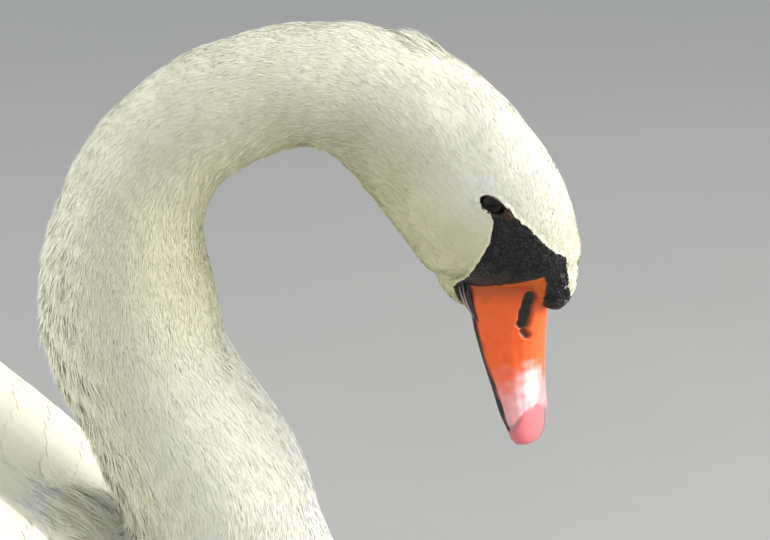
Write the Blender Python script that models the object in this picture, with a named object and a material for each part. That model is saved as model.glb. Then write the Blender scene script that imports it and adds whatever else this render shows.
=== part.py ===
"""Mute swan (adult cob), life size, resting on its belly with its neck arched and its bill hanging down.

The bird faces +X, the floor is Z = 0 and Y = 0 is the middle of the trunk. The neck rises from the
breast, leans back, arches forward and turns the head to the bird's right. Every length in the
tables below is in millimetres; MM turns it into metres. At the end the whole bird is slid so that
the origin is under the middle of its bounding box.
"""
import math

import bmesh
import bpy
import numpy as np
from mathutils import Matrix, Vector

MM = 0.001
GAP = 0.3                    # clearance left between neighbouring solids

# Head attitude: the bill points steeply down and the face is turned to the bird's right.
HEAD_PITCH = math.radians(80.0)
HEAD_YAW = math.radians(-27.0)
HEAD_ORIGIN = Vector((257.3, -20.0, 385.0))   # inside the head, midway between the eyes
EYE_PLACE = (2.0, 20.5, -3.5)   # middle of the left eyeball: ahead, to the side, up
EYE_RADIUS = 8.0
CROWN_NARROWING = 0.12       # the head is this much narrower over the crown than along the jaw

BILL_BASE = 47.0             # along the bill's axis, from the eyes to the bill's root
BILL_LENGTH = 87.0           # root to tip of the upper mandible
KNOB_RADIUS = 13.5

TAIL_ROOT_X = -400.0         # where the tail's coverts end and its quills begin
TAIL_LENGTH = 190.0

WING_CREST_Y = 76.0          # the folded wings are highest this far from the middle

FOOT_LENGTH = 142.0          # middle toe with its claw
TARSUS_LENGTH = 112.0
TARSUS_FLATTENING = 0.82     # its width as a share of its depth
HEEL_TOE_IN = 6.0            # the heels lie this much closer to the middle than the ankles
TOE_SPREAD = math.radians(17.0)
FOOT_SPLAY = math.radians(9.0)
ANKLE = Vector((-150.0, 96.0, 7.4))          # where the toes meet the left tarsus


# ---------------------------------------------------------------- curves and rings

def smooth_through(stations):
    """A smooth function of one number through (position, value) pairs; values may be tuples."""
    stations = sorted(stations)
    xs = np.array([s[0] for s in stations], float)
    ys = np.array([np.atleast_1d(s[1]) for s in stations], float)
    slopes = np.gradient(ys, xs, axis=0)

    def value(x):
        x = min(max(x, xs[0]), xs[-1])
        i = min(int(np.searchsorted(xs, x, side="right")) - 1, len(xs) - 2)
        h = xs[i + 1] - xs[i]
        t = (x - xs[i]) / h
        out = ((2 * t**3 - 3 * t**2 + 1) * ys[i] + (t**3 - 2 * t**2 + t) * h * slopes[i]
               + (3 * t**2 - 2 * t**3) * ys[i + 1] + (t**3 - t**2) * h * slopes[i + 1])
        return out if len(out) > 1 else float(out[0])
    return value


def rounded(angle, right, left, up, down, power_up=2.0, power_down=2.0):
    """A point on an egg-like outline whose four quarters have their own half sizes."""
    c, s = math.cos(angle), math.sin(angle)
    power = power_up if s >= 0 else power_down
    across = math.copysign(abs(c) ** (2 / power), c) * (right if c >= 0 else left)
    rise = math.copysign(abs(s) ** (2 / power), s) * (up if s >= 0 else down)
    return across, rise


def turns(count, phase=0.5):
    """Evenly spread angles round a ring."""
    return [2 * math.pi * (i + phase) / count for i in range(count)]


def loft(name, rings, start_point=None, end_point=None):
    """A closed mesh through rings of equal count; an end is a flat cap or comes to a point."""
    bm = bmesh.new()
    loops = [[bm.verts.new(Vector(p) * MM) for p in ring] for ring in rings]
    count = len(loops[0])
    for near, far in zip(loops, loops[1:]):
        for i in range(count):
            j = (i + 1) % count
            corners = (near[i], near[j], far[j], far[i])
            if sum(corner.co.y for corner in corners) < 0:   # mirrored diagonals on the right side
                corners = corners[1:] + corners[:1]
            bm.faces.new((corners[0], corners[1], corners[2]))
            bm.faces.new((corners[0], corners[2], corners[3]))
    for loop, point, flip in ((loops[0], start_point, True), (loops[-1], end_point, False)):
        if point is None:
            bm.faces.new(list(reversed(loop)) if flip else loop)
            continue
        pole = bm.verts.new(Vector(point) * MM)
        for i in range(count):
            j = (i + 1) % count
            bm.faces.new((loop[j], loop[i], pole) if flip else (loop[i], loop[j], pole))
    bmesh.ops.recalc_face_normals(bm, faces=bm.faces)
    mesh = bpy.data.meshes.new(name)
    bm.to_mesh(mesh)
    bm.free()
    return mesh


def place(name, mesh, material):
    """An object of the given name and material, shaded smooth."""
    mesh.name = name
    mesh.materials.clear()
    mesh.materials.append(material)
    mesh.shade_smooth()
    obj = bpy.data.objects.new(name, mesh)
    bpy.context.collection.objects.link(obj)
    return obj


def finish_material(name, color, roughness, metallic=0.0):
    """A Principled material."""
    material = bpy.data.materials.new(name)
    material.use_nodes = True
    shader = material.node_tree.nodes["Principled BSDF"]
    shader.inputs["Base Color"].default_value = (*color, 1.0)
    shader.inputs["Roughness"].default_value = roughness
    shader.inputs["Metallic"].default_value = metallic
    return material


def boolean_mesh(base, tool, operation):
    """The mesh left when a Boolean of the two meshes is worked out."""
    base_obj = bpy.data.objects.new("base", base)
    tool_obj = bpy.data.objects.new("tool", tool)
    for obj in (base_obj, tool_obj):
        bpy.context.collection.objects.link(obj)
    modifier = base_obj.modifiers.new("cut", "BOOLEAN")
    modifier.operation = operation
    modifier.solver = "EXACT"
    modifier.object = tool_obj
    graph = bpy.context.evaluated_depsgraph_get()
    result = bpy.data.meshes.new_from_object(base_obj.evaluated_get(graph))
    for obj in (base_obj, tool_obj):
        bpy.data.objects.remove(obj)
    return result


def swollen(mesh, amount):
    """A copy of a mesh grown outwards by an amount in millimetres, to cut its neighbour with."""
    copy = mesh.copy()
    for vertex, normal in zip(copy.vertices, [v.normal.copy() for v in mesh.vertices]):
        vertex.co += normal * amount * MM
    return copy


def mirrored(mesh):
    """A copy of a mesh reflected in Y = 0."""
    copy = mesh.copy()
    copy.transform(Matrix.Scale(-1, 4, Vector((0, 1, 0))))
    copy.flip_normals()
    return copy


def ball(name, centre, radii, axes, segments=18, rings=10):
    """An ellipsoid with its half sizes along three given axes."""
    outline = []
    for k in range(1, rings):
        polar = math.pi * k / rings
        outline.append([centre + axes[0] * (-math.cos(polar) * radii[0])
                        + axes[1] * (math.sin(polar) * math.cos(a) * radii[1])
                        + axes[2] * (math.sin(polar) * math.sin(a) * radii[2])
                        for a in turns(segments)])
    return loft(name, outline, centre - axes[0] * radii[0], centre + axes[0] * radii[0])


# ---------------------------------------------------------------- trunk and tail

# Along X: height of the back, of the belly, half width, and height of the widest level.
trunk_shape = smooth_through([
    (TAIL_ROOT_X, (219, 151, 70, 185)),
    (-350, (244, 106, 104, 176)),
    (-290, (262, 56, 132, 158)),
    (-210, (272, 12, 153, 142)),
    (-120, (268, -3, 161, 136)),
    (-40, (246, -5, 159, 130)),
    (20, (212, -5, 151, 124)),
    (70, (186, -5, 139, 116)),
    (120, (172, 0, 118, 108)),
    (160, (158, 16, 91, 102)),
    (185, (141, 43, 58, 100)),
    (194, (124, 66, 32, 99)),
])
# Behind its root the tail is a wedge of long feathers: half width, half depth and level.
tail_shape = smooth_through([
    (TAIL_ROOT_X - TAIL_LENGTH * share, shape) for share, shape in (
        (0.0, (70, 34, 185)), (0.25, (73, 21, 182)), (0.5, (68, 11, 178)),
        (0.75, (50, 5, 172)), (0.92, (26, 2.6, 168)), (1.0, (9, 1.6, 166)))
])
BREAST_TIP = (198.0, 0.0, 98.0)
THIGH_MIDDLE = Vector((-218.0, 88.0, 53.0))  # the feathered left thigh bulges from the flank
THIGH_RADII = (64.0, 30.0, 37.0)
FLOOR = 0.0                  # whatever would reach below this is flattened onto it
BODY_SIDES = 32
BODY_ANGLES = turns(BODY_SIDES)
TRUNK_STATIONS = (-375, -350, -320, -290, -250, -210, -165, -120, -80, -45, -15, 12, 36, 58,
                  76, 92, 120, 141, 160, 175, 185, 191, 194)
TAIL_STATIONS = (-425, -450, -475, -500, -525, -548, -566, -580, TAIL_ROOT_X - TAIL_LENGTH)
WING_STATIONS = TAIL_STATIONS[4::-1] + (TAIL_ROOT_X,) + TRUNK_STATIONS[:16]
WING_ANGLES = [math.degrees(a) - (360 if a > math.pi * 1.5 else 0)
               for a in BODY_ANGLES[-2:] + BODY_ANGLES[:8]]


def thigh_mesh(growth=0.0):
    """The feathered left thigh, or the same grown a little, to cut the leg with."""
    axes = (Vector((1, 0, 0)), Vector((0, 1, 0)), Vector((0, 0, 1)))
    radii = [radius + growth for radius in THIGH_RADII]
    return ball("thigh", THIGH_MIDDLE, radii, axes, 16, 8)


def body_middle(x):
    """The middle of the trunk's or tail's section at X, as Y and Z."""
    return (0.0, trunk_shape(x)[3] if x >= TAIL_ROOT_X else tail_shape(x)[2])


def body_outline(x, degrees):
    """A point of the trunk's or tail's section at X, as Y and Z."""
    angle = math.radians(degrees)
    if x >= TAIL_ROOT_X:
        back, belly, half_width, widest = trunk_shape(x)
        y, z = rounded(angle, half_width, half_width, back - widest, widest - belly, 2.2, 2.0)
    else:
        half_width, half_depth, widest = tail_shape(x)
        y, z = rounded(angle, half_width, half_width, half_depth, half_depth, 2.2, 2.0)
    return y, max(widest + z, FLOOR)


def body_ring(x, drawn_at=None):
    """A closed section at X, drawn at another place along X if one is given."""
    at = x if drawn_at is None else drawn_at
    return [(at, *body_outline(x, math.degrees(a))) for a in BODY_ANGLES]


# ---------------------------------------------------------------- neck and head

# The neck's route from inside the breast to the nape, then the head's axis to the bill's root:
# X, Y, Z of the middle, half depth towards the back of the neck, towards the throat, half width,
# and how far the face has turned (0 at the breast, 1 at the bill).
neck_route = [
    (146, 0, 96, 46, 34, 78, 0),
    (137, 0, 130, 50, 47, 82, 0),
    (127, 0, 160, 49, 49, 70, 0),
    (115, 0, 192, 48, 48.5, 56, 0),
    (104, 0, 222, 48, 47.5, 50.5, 0),
    (91, 0, 250, 46, 43, 47, 0),
    (77, 0, 277, 43.5, 39.5, 44, 0),
    (68, 0, 300, 46, 43.5, 44.5, 0),
    (63.5, 0, 325, 43.5, 43.5, 44, 0),
    (62.5, 0, 350, 39, 40, 40.5, 0),
    (70, 0, 380, 34.5, 36.5, 37, 0),
    (88, 0, 405, 32, 34.5, 34, 0),
    (111, 0, 419.5, 32.5, 33.5, 33, 0),
    (133, 0, 427.5, 32, 32.5, 32.5, 0.05),
    (154, 0, 430, 33, 33, 33, 0.15),
    (175, 0, 428, 36, 36, 34, 0.3),
    (197, -0.5, 417.6, 40.5, 40.5, 34.5, 0.5),
    (219, -3.5, 399, 45, 45, 34, 0.75),
    (239, -11.5, 374.6, 46, 46, 33, 0.9),
    (251, -17, 354, 41, 41, 30, 1),
    (255.2, -18.9, 346, 36.5, 37, 27, 1),
]
# Where the flesh is parted, as places along the route counted in its stations.
NECK_CUTS = (4.0, 8.5, 13.0, 16.6)
RINGS_PER_STATION = 1.6
HEAD_RINGS_PER_STATION = 3
NECK_SIDES = 28

# The head's own directions: along the bill, to the bird's left, and out through the crown.
head_along = Vector((math.cos(HEAD_PITCH) * math.cos(HEAD_YAW),
                     math.cos(HEAD_PITCH) * math.sin(HEAD_YAW), -math.sin(HEAD_PITCH)))
head_left = Vector((-math.sin(HEAD_YAW), math.cos(HEAD_YAW), 0))
head_up = head_along.cross(head_left)

route = smooth_through([(i, station) for i, station in enumerate(neck_route)])


def neck_frame(place_on_route):
    """Middle, sideways direction, outward (back of neck) direction and half sizes at a place."""
    here = route(place_on_route)
    step = 0.02
    ahead = route(min(place_on_route + step, len(neck_route) - 1))
    behind = route(max(place_on_route - step, 0))
    forward = Vector(ahead[:3] - behind[:3]).normalized()
    square = max(0.0, (place_on_route - len(neck_route) + 3) / 2)
    forward = forward.lerp(head_along, square).normalized()
    yaw = HEAD_YAW * here[6]
    sideways = Vector((-math.sin(yaw), math.cos(yaw), 0))
    sideways = (sideways - forward * sideways.dot(forward)).normalized()
    outward = forward.cross(sideways)
    return Vector(here[:3]), sideways, outward, forward, here[3:6]


def neck_ring(place_on_route, count=NECK_SIDES, slide=0.0):
    """A section of the neck or of the back of the head, slid along its own axis if asked."""
    middle, sideways, outward, forward, (back, throat, half_width) = neck_frame(place_on_route)
    narrowing = CROWN_NARROWING * route(place_on_route)[6]
    ring = []
    for angle in turns(count):
        width = half_width * (1 - narrowing * math.sin(angle))
        across, rise = rounded(angle, width, width, back, throat)
        ring.append(middle + forward * slide + sideways * across + outward * rise)
    return ring


def neck_length(name, start, end):
    """One length of the neck between two places, cut square with half a gap left at each end."""
    steps = max(2, round((end - start) * RINGS_PER_STATION))
    places = [start + (end - start) * i / steps for i in range(steps + 1)]
    rings = [neck_ring(p) for p in places]
    rings[0] = neck_ring(start, slide=GAP / 2)
    rings[-1] = neck_ring(end, slide=-GAP / 2)
    return loft(name, rings)


def on_head(along, left, up):
    """A place given in the head's own directions, from between the eyes."""
    return HEAD_ORIGIN + head_along * along + head_left * left + head_up * up


# Face between the last station of the route and the bill's root: distance ahead of the eyes,
# level of the middle, half height above and below it, half width.
face_shape = smooth_through([
    (40, (-9, 34.5, 35, 25)),
    (44, (-8.5, 30, 31, 21)),
    (BILL_BASE, (-8, 26, 27.5, 18)),
])


def face_ring(along):
    """A section of the face, square to the bill."""
    level, above, below, half_width = face_shape(along)
    ring = []
    for angle in turns(NECK_SIDES):
        across, rise = rounded(angle, half_width, half_width, above, below, 2.2, 2.2)
        ring.append(on_head(along, across, level + rise))
    return ring


def head_mesh():
    """The head from the nape to the bill's root, before its sockets are cut."""
    start, end = NECK_CUTS[-1], len(neck_route) - 1
    steps = round((end - start) * HEAD_RINGS_PER_STATION)
    places = [start + (end - start) * i / steps for i in range(steps + 1)]
    rings = [neck_ring(start, slide=GAP / 2)] + [neck_ring(p) for p in places[1:]]
    rings += [face_ring(along) for along in (BILL_BASE - 4.5, BILL_BASE - GAP / 2)]
    return loft("head", rings)


# ---------------------------------------------------------------- bill, knob and eyes

# Along the bill (0 root, 1 tip): top of the culmen, edge of the mouth, half width, bluntness.
upper_bill = smooth_through([
    (0.0, (12.0, -26.5, 17.0, 2.0)),
    (0.2, (5.5, -24.5, 16.5, 2.1)),
    (0.45, (-0.3, -22.0, 16.2, 2.2)),
    (0.7, (-4.5, -19.5, 17.0, 2.3)),
    (0.86, (-6.6, -18.3, 16.6, 2.4)),
    (0.95, (-8.6, -17.9, 12.6, 2.4)),
    (0.985, (-10.8, -17.6, 7.0, 2.2)),
])
MOUTH_DROP = 1.6             # the upper mandible's edges hang this much over the lower one


def upper_bill_ring(t, count=20):
    """An arched section: round over the culmen, nearly flat across the mouth."""
    top, edge, half_width, bluntness = upper_bill(t)
    middle = edge + MOUTH_DROP
    ring = []
    for angle in turns(count):
        across, rise = rounded(angle, half_width, half_width, top - middle, MOUTH_DROP, bluntness, 3.0)
        ring.append(on_head(BILL_BASE + GAP / 2 + t * BILL_LENGTH, across, middle + rise))
    return ring


def lower_bill_ring(t, count=16):
    """The lower mandible is a shallow trough just inside the upper one's edges."""
    edge, half_width, depth = smooth_through([
        (0.0, (-26.5, 15.5, 8.0)), (0.3, (-23.6, 14.2, 7.5)), (0.6, (-20.6, 14.2, 6.0)),
        (0.85, (-18.4, 13.0, 4.6)), (0.94, (-17.9, 7.5, 3.2)),
    ])(t)
    ring = []
    for angle in turns(count):
        across, rise = rounded(angle, half_width, half_width, 1.0, depth, 3.0, 2.2)
        ring.append(on_head(BILL_BASE + GAP / 2 + t * BILL_LENGTH, across, edge - 1.0 - GAP + rise))
    return ring


def bill_meshes():
    """The upper and the lower mandible."""
    places = (0.0, 0.1, 0.22, 0.36, 0.5, 0.64, 0.76, 0.86, 0.93, 0.97, 0.985)
    upper = loft("bill_upper", [upper_bill_ring(t) for t in places],
                 end_point=on_head(BILL_BASE + BILL_LENGTH, 0, -14.5))
    places = (0.0, 0.15, 0.3, 0.45, 0.6, 0.73, 0.85, 0.94)
    lower = loft("bill_lower", [lower_bill_ring(t) for t in places])
    return upper, lower


def knob_mesh():
    """The fleshy knob of an old cob, at the root of the culmen."""
    centre = on_head(48.5, 0, 12.5)
    return ball("knob", centre, (15.5, 12.0, KNOB_RADIUS), (head_along, head_left, head_up), 18, 10)


def eye_mesh(side, radius=EYE_RADIUS):
    """An eyeball; side is +1 for the left eye and -1 for the right."""
    centre = on_head(EYE_PLACE[0], side * EYE_PLACE[1], EYE_PLACE[2])
    axes = (head_left * side, head_along, head_up)
    return ball("eye", centre, (radius, radius, radius), axes, 16, 8)


# ---------------------------------------------------------------- wings

# The folded wing is a pad laid on the trunk and the tail's root. Along X: height of its crest, its
# lower edge, half width of the bird there, widest level, and inner edge, before it is fitted.
wing_pad = smooth_through([
    (-525, (203, 190, 62, 196, 40)),
    (-500, (216, 184, 78, 198, 30)),
    (-450, (243, 172, 100, 200, 20)),
    (-380, (275, 150, 134, 196, 8)),
    (-300, (301, 124, 162, 186, 3)),
    (-200, (315, 104, 178, 174, 3)),
    (-100, (302, 96, 181, 168, 3)),
    (-40, (274, 98, 177, 164, 3)),
    (0, (243, 104, 169, 158, 3)),
    (30, (213, 112, 160, 152, 3)),
    (60, (186, 124, 148, 147, 10)),
    (96, (160, 140, 120, 146, 40)),
])
# The part of the trunk's outline that the wing covers: angles from its widest level, in degrees.
wing_cover = smooth_through([
    (-525, (40, 62)), (-500, (20, 72)), (-450, (0, 84.4)), (-400, (-16.9, 84.4)),
    (-20, (-16.9, 84.4)), (10, (-16.9, 80)), (35, (-14, 73)), (60, (-6, 65)),
    (80, (6, 56)), (92, (18, 44)),
])
WING_RIM = 5.0               # thickness of the wing along its edges
TIP_LIFT = 0.13              # how fast the wing tips rise off the tail
SHOULDER_LIFT = 0.016        # how fast the shoulders stand off the breast


def pad_excess(x, y, z):
    """Below zero inside the wing's outline at X, above zero outside it."""
    crest, low, half_width, widest, inner = wing_pad(x)
    middle = min(WING_CREST_Y, 0.5 * (half_width + inner))
    across = (y - middle) / (half_width - middle if y > middle else middle - inner)
    rise = (z - widest) / (crest - widest if z > widest else widest - low)
    power = 2.1 if z > widest else 2.6
    return abs(across) ** power + abs(rise) ** power - 1


def wing_thickness(x, point, outward):
    """How far the wing's outline lies outside a point of the trunk, and no less than its rim."""
    if pad_excess(x, *(point + outward * WING_RIM)) > 0:
        return WING_RIM
    inside, outside = WING_RIM, 120.0
    for _ in range(24):
        middle = 0.5 * (inside + outside)
        if pad_excess(x, *(point + outward * middle)) > 0:
            outside = middle
        else:
            inside = middle
    return inside


def wing_ring(x):
    """A section of the left wing: inner points along the trunk's own outline, outer points over them."""
    low, top = wing_cover(x)
    lift = GAP + max(0.0, TAIL_ROOT_X - x) * TIP_LIFT + max(0.0, x - 40) * SHOULDER_LIFT
    middle = np.array(body_middle(x))
    inner, outer = [], []
    for angle in WING_ANGLES:
        point = np.array(body_outline(x, min(max(angle, low), top)))
        outward = (point - middle) / np.linalg.norm(point - middle)
        point = point + outward * lift
        inner.append((x, *point))
        outer.append((x, *(point + outward * wing_thickness(x, point, outward))))
    return inner + outer[::-1]


def wing_mesh():
    """The left wing, with the edges that come to nothing merged away."""
    mesh = loft("wing", [wing_ring(x) for x in WING_STATIONS])
    bm = bmesh.new()
    bm.from_mesh(mesh)
    bmesh.ops.remove_doubles(bm, verts=bm.verts, dist=0.01 * MM)
    bmesh.ops.dissolve_degenerate(bm, edges=bm.edges, dist=0.01 * MM)
    bm.to_mesh(mesh)
    bm.free()
    return mesh


# ---------------------------------------------------------------- legs and feet

# The left tarsus, from behind the heel (0) to the ankle (1): height of its middle, half depth.
tarsus_shape = smooth_through([
    (0.0, (11.5, 4.0)), (0.04, (12.0, 8.5)), (0.12, (12.5, 11.5)), (0.22, (10.5, 9.5)),
    (0.36, (8.8, 7.6)), (0.7, (7.8, 7.2)), (0.92, (7.6, 8.0)), (1.0, (7.4, 7.6)),
])


def leg_mesh():
    """The left leg below its feathers: the heel, just clear of the thigh, and the tarsus."""
    rings = []
    for share in (0.0, 0.04, 0.1, 0.16, 0.24, 0.36, 0.55, 0.78, 0.92, 1.0):
        height, half_depth = tarsus_shape(share)
        x = ANKLE.x - GAP - TARSUS_LENGTH * (1 - share)
        y = ANKLE.y - HEEL_TOE_IN * (1 - share)
        rings.append([(x, y + math.cos(a) * half_depth * TARSUS_FLATTENING,
                       max(height + math.sin(a) * half_depth, FLOOR)) for a in turns(12)])
    return loft("leg", rings)


# The toes of the left foot: angle from the middle toe (outer toe positive) and relative length.
TOES = ((-TOE_SPREAD, 0.80), (0.0, 1.0), (TOE_SPREAD, 0.93))
WEB_THICKNESS = 2.6
TOE_HEIGHT = 8.0
CLAW_TAPER = 0.35            # the foot's outer edge is this much of its thickness just inside it


def foot_height(angle, along):
    """Thickness of the foot at a direction from the ankle and a share of the way out (0 to 1)."""
    height = WEB_THICKNESS
    for toe_angle, _ in TOES:
        spread = (angle - toe_angle) * (0.18 + along) / 0.055
        height += TOE_HEIGHT * (1 - 0.62 * along) * math.exp(-spread * spread)
    return min(height, TOE_HEIGHT + 2.0)


def foot_reach(angle):
    """How far the foot's edge is from the ankle: out to the claws, drawn in along the webs."""
    reach = 0.0
    for toe_angle, length in TOES:
        share = math.exp(-((angle - toe_angle) / 0.07) ** 2)
        reach = max(reach, length * (0.83 + 0.17 * share))
    return reach * FOOT_LENGTH


def foot_mesh():
    """The left foot: three toes joined by webs, flat on the floor, as a fan from the ankle."""
    edge = TOE_SPREAD + 0.075
    angles = [-edge + 2 * edge * i / 16 for i in range(17)]
    shares = [0.0, 0.14, 0.4, 0.65, 0.84, 0.95, 1.0]
    start = 7.0
    bm = bmesh.new()
    sheets = []
    for is_top in (True, False):
        sheet = []
        for share in shares:
            row = []
            for angle in angles:
                reach = start + (foot_reach(angle) - start) * share
                height = foot_height(angle, share) * (1.0 if share < 1 else CLAW_TAPER)
                z = height if is_top else FLOOR
                x = ANKLE.x + GAP + reach * math.cos(angle + FOOT_SPLAY) - start * 0.9
                y = ANKLE.y + reach * math.sin(angle + FOOT_SPLAY) * (1.0 + 0.5 * (1 - share))
                row.append(bm.verts.new(Vector((x, y, z)) * MM))
            sheet.append(row)
        sheets.append(sheet)
    top, bottom = sheets
    for i in range(len(shares) - 1):
        for j in range(len(angles) - 1):
            bm.faces.new((top[i][j], top[i + 1][j], top[i + 1][j + 1], top[i][j + 1]))
            bm.faces.new((bottom[i][j], bottom[i][j + 1], bottom[i + 1][j + 1], bottom[i + 1][j]))
    for j in range(len(angles) - 1):
        bm.faces.new((top[0][j], top[0][j + 1], bottom[0][j + 1], bottom[0][j]))
        bm.faces.new((top[-1][j + 1], top[-1][j], bottom[-1][j], bottom[-1][j + 1]))
    for i in range(len(shares) - 1):
        bm.faces.new((top[i + 1][0], top[i][0], bottom[i][0], bottom[i + 1][0]))
        bm.faces.new((top[i][-1], top[i + 1][-1], bottom[i + 1][-1], bottom[i][-1]))
    bmesh.ops.recalc_face_normals(bm, faces=bm.faces)
    mesh = bpy.data.meshes.new("foot")
    bm.to_mesh(mesh)
    bm.free()
    return mesh


# ---------------------------------------------------------------- assembly

def flesh_meshes():
    """Trunk, tail, three lengths of neck, and the head with sockets for its eyes and knob."""
    rings = [body_ring(TAIL_ROOT_X, TAIL_ROOT_X + GAP / 2)] + [body_ring(x) for x in TRUNK_STATIONS]
    barrel = loft("trunk", rings, end_point=BREAST_TIP)
    steps = 7
    base_rings = [neck_ring(NECK_CUTS[0] * i / steps) for i in range(steps)]
    base_rings.append(neck_ring(NECK_CUTS[0], slide=-GAP / 2))
    trunk = boolean_mesh(barrel, loft("neck_base", base_rings), "UNION")
    thigh = thigh_mesh()
    for mesh in (thigh, mirrored(thigh)):
        trunk = boolean_mesh(trunk, mesh, "UNION")
    rings = [body_ring(TAIL_ROOT_X, TAIL_ROOT_X - GAP / 2)] + [body_ring(x) for x in TAIL_STATIONS]
    tail = loft("tail", rings)
    necks = [neck_length("neck", a, b) for a, b in zip(NECK_CUTS, NECK_CUTS[1:])]
    head = head_mesh()
    for side in (1, -1):
        head = boolean_mesh(head, eye_mesh(side, EYE_RADIUS + GAP), "DIFFERENCE")
    return barrel, trunk, tail, necks, head


def slide_origin_under_middle(objects):
    """Move the meshes so that the origin is under the middle of the bird's bounding box."""
    points = np.array([v.co for obj in objects for v in obj.data.vertices])
    low, high = points.min(axis=0), points.max(axis=0)
    shift = Vector((-(low[0] + high[0]) / 2, -(low[1] + high[1]) / 2, 0))
    for obj in objects:
        obj.data.transform(Matrix.Translation(shift))
    print("slid by", [round(v, 5) for v in shift], "size", np.round(high - low, 4))


def build():
    """Clear the scene and make the 17 solids."""
    for obj in list(bpy.data.objects):
        bpy.data.objects.remove(obj)

    white = finish_material("white_feathers", (0.86, 0.86, 0.84), 0.75)
    cream = finish_material("cream_feathers", (0.84, 0.83, 0.72), 0.8)
    orange = finish_material("orange_bill", (0.82, 0.16, 0.03), 0.4)
    black = finish_material("black_skin", (0.025, 0.023, 0.022), 0.55)
    eye = finish_material("eye", (0.02, 0.012, 0.008), 0.08)
    leg_black = finish_material("leg_skin", (0.05, 0.048, 0.045), 0.6)

    barrel, trunk, tail, necks, head = flesh_meshes()
    upper, lower = bill_meshes()
    knob = knob_mesh()
    for neighbour in (head, upper):
        knob = boolean_mesh(knob, swollen(neighbour, GAP * 1.2), "DIFFERENCE")

    objects = [place("trunk", trunk, white), place("tail", tail, white)]
    for name, mesh in zip(("neck_lower", "neck_middle", "neck_upper"), necks):
        objects.append(place(name, mesh, cream))
    objects.append(place("head", head, cream))
    objects.append(place("bill_upper", upper, orange))
    objects.append(place("bill_lower", lower, black))
    objects.append(place("knob", knob, black))

    wing = wing_mesh()
    leg = boolean_mesh(leg_mesh(), swollen(barrel, GAP * 1.2), "DIFFERENCE")
    leg = boolean_mesh(leg, thigh_mesh(GAP * 1.2), "DIFFERENCE")
    foot = foot_mesh()
    for side, name in ((1, "left"), (-1, "right")):
        objects.append(place("eye_" + name, eye_mesh(side), eye))
        for part, mesh, material in (("wing_", wing, white), ("leg_", leg, leg_black),
                                     ("foot_", foot, leg_black)):
            copy = mesh.copy() if side > 0 else mirrored(mesh)
            objects.append(place(part + name, copy, material))

    slide_origin_under_middle(objects)


build()
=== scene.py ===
# %% [markdown]
# # Dressing a mute swan
# A plain model already holds the bird's true size and pose. A museum's model maker would now give
# it a skin, a coat of feathers, a horny bill, bare black skin round its root, eyes and feet.

# %% Load the plain model
import math

import bmesh
import bpy
import numpy as np
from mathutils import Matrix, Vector
from mathutils.bvhtree import BVHTree


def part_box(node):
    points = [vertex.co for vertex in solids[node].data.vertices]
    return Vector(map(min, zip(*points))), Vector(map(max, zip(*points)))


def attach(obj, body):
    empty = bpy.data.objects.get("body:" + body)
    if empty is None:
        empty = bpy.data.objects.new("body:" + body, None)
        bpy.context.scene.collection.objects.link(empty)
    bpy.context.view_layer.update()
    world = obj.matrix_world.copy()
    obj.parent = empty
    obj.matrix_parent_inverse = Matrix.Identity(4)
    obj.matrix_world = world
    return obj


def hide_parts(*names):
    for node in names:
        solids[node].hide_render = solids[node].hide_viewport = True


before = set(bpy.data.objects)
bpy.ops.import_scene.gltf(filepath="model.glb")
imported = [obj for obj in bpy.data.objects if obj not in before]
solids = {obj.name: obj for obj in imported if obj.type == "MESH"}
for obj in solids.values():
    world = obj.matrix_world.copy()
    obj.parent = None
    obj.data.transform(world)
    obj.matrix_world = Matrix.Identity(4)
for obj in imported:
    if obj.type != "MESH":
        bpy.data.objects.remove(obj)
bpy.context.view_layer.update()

# %% [markdown]
# ## One set of measures
# All shapes below are worked out in millimetres, with the floor at 0 and the bird facing +X, and
# only turned into metres when a mesh is made. The plain model was slid along X to stand over its
# own middle, so the tail's tip tells how far. The head has directions of its own, because it hangs
# steeply and looks to the bird's right: along the bill, to the bird's left, and out at the crown.

# %% Measures and the head's own directions
MM = 0.001
TAIL_TIP = -590.0
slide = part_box("tail")[0].x - TAIL_TIP * MM

HEAD_PITCH = math.radians(80.0)
HEAD_YAW = math.radians(-27.0)
head_origin = np.array((257.3, -20.0, 385.0))
head_along = np.array((math.cos(HEAD_PITCH) * math.cos(HEAD_YAW),
                       math.cos(HEAD_PITCH) * math.sin(HEAD_YAW), -math.sin(HEAD_PITCH)))
head_left = np.array((-math.sin(HEAD_YAW), math.cos(HEAD_YAW), 0.0))
head_up = np.cross(head_along, head_left)
head_axes = np.array((head_along, head_left, head_up))


def to_world(points):
    """Workshop millimetres to the frame's metres."""
    return np.asarray(points, float) * MM + (slide, 0.0, 0.0)


def from_world(points):
    """The frame's metres to workshop millimetres."""
    return (np.asarray(points, float) - (slide, 0.0, 0.0)) / MM


def on_head(points):
    """Places given as along, left and up on the head, as workshop millimetres."""
    return head_origin + np.asarray(points, float) @ head_axes


def in_head(points):
    """Workshop millimetres as along, left and up on the head."""
    return (points - head_origin) @ head_axes.T


print("slide", round(slide, 5), "head up", head_up.round(3))

# %% [markdown]
# ## Camera, floor and light
# The camera comes first, because every later choice of detail depends on how large a feather
# shows. A long lens from two metres away keeps the neck's curve free of distortion. The light is
# a studio's: a warm key high on the right, a broad lamp in front of the bird, a weak fill near the
# camera, one lamp overhead and one behind, in a bright room. White plumage keeps its form that way
# without burning out. The floor is a pale grey, a little darker than the bird, so that the white
# outline reads.

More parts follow.
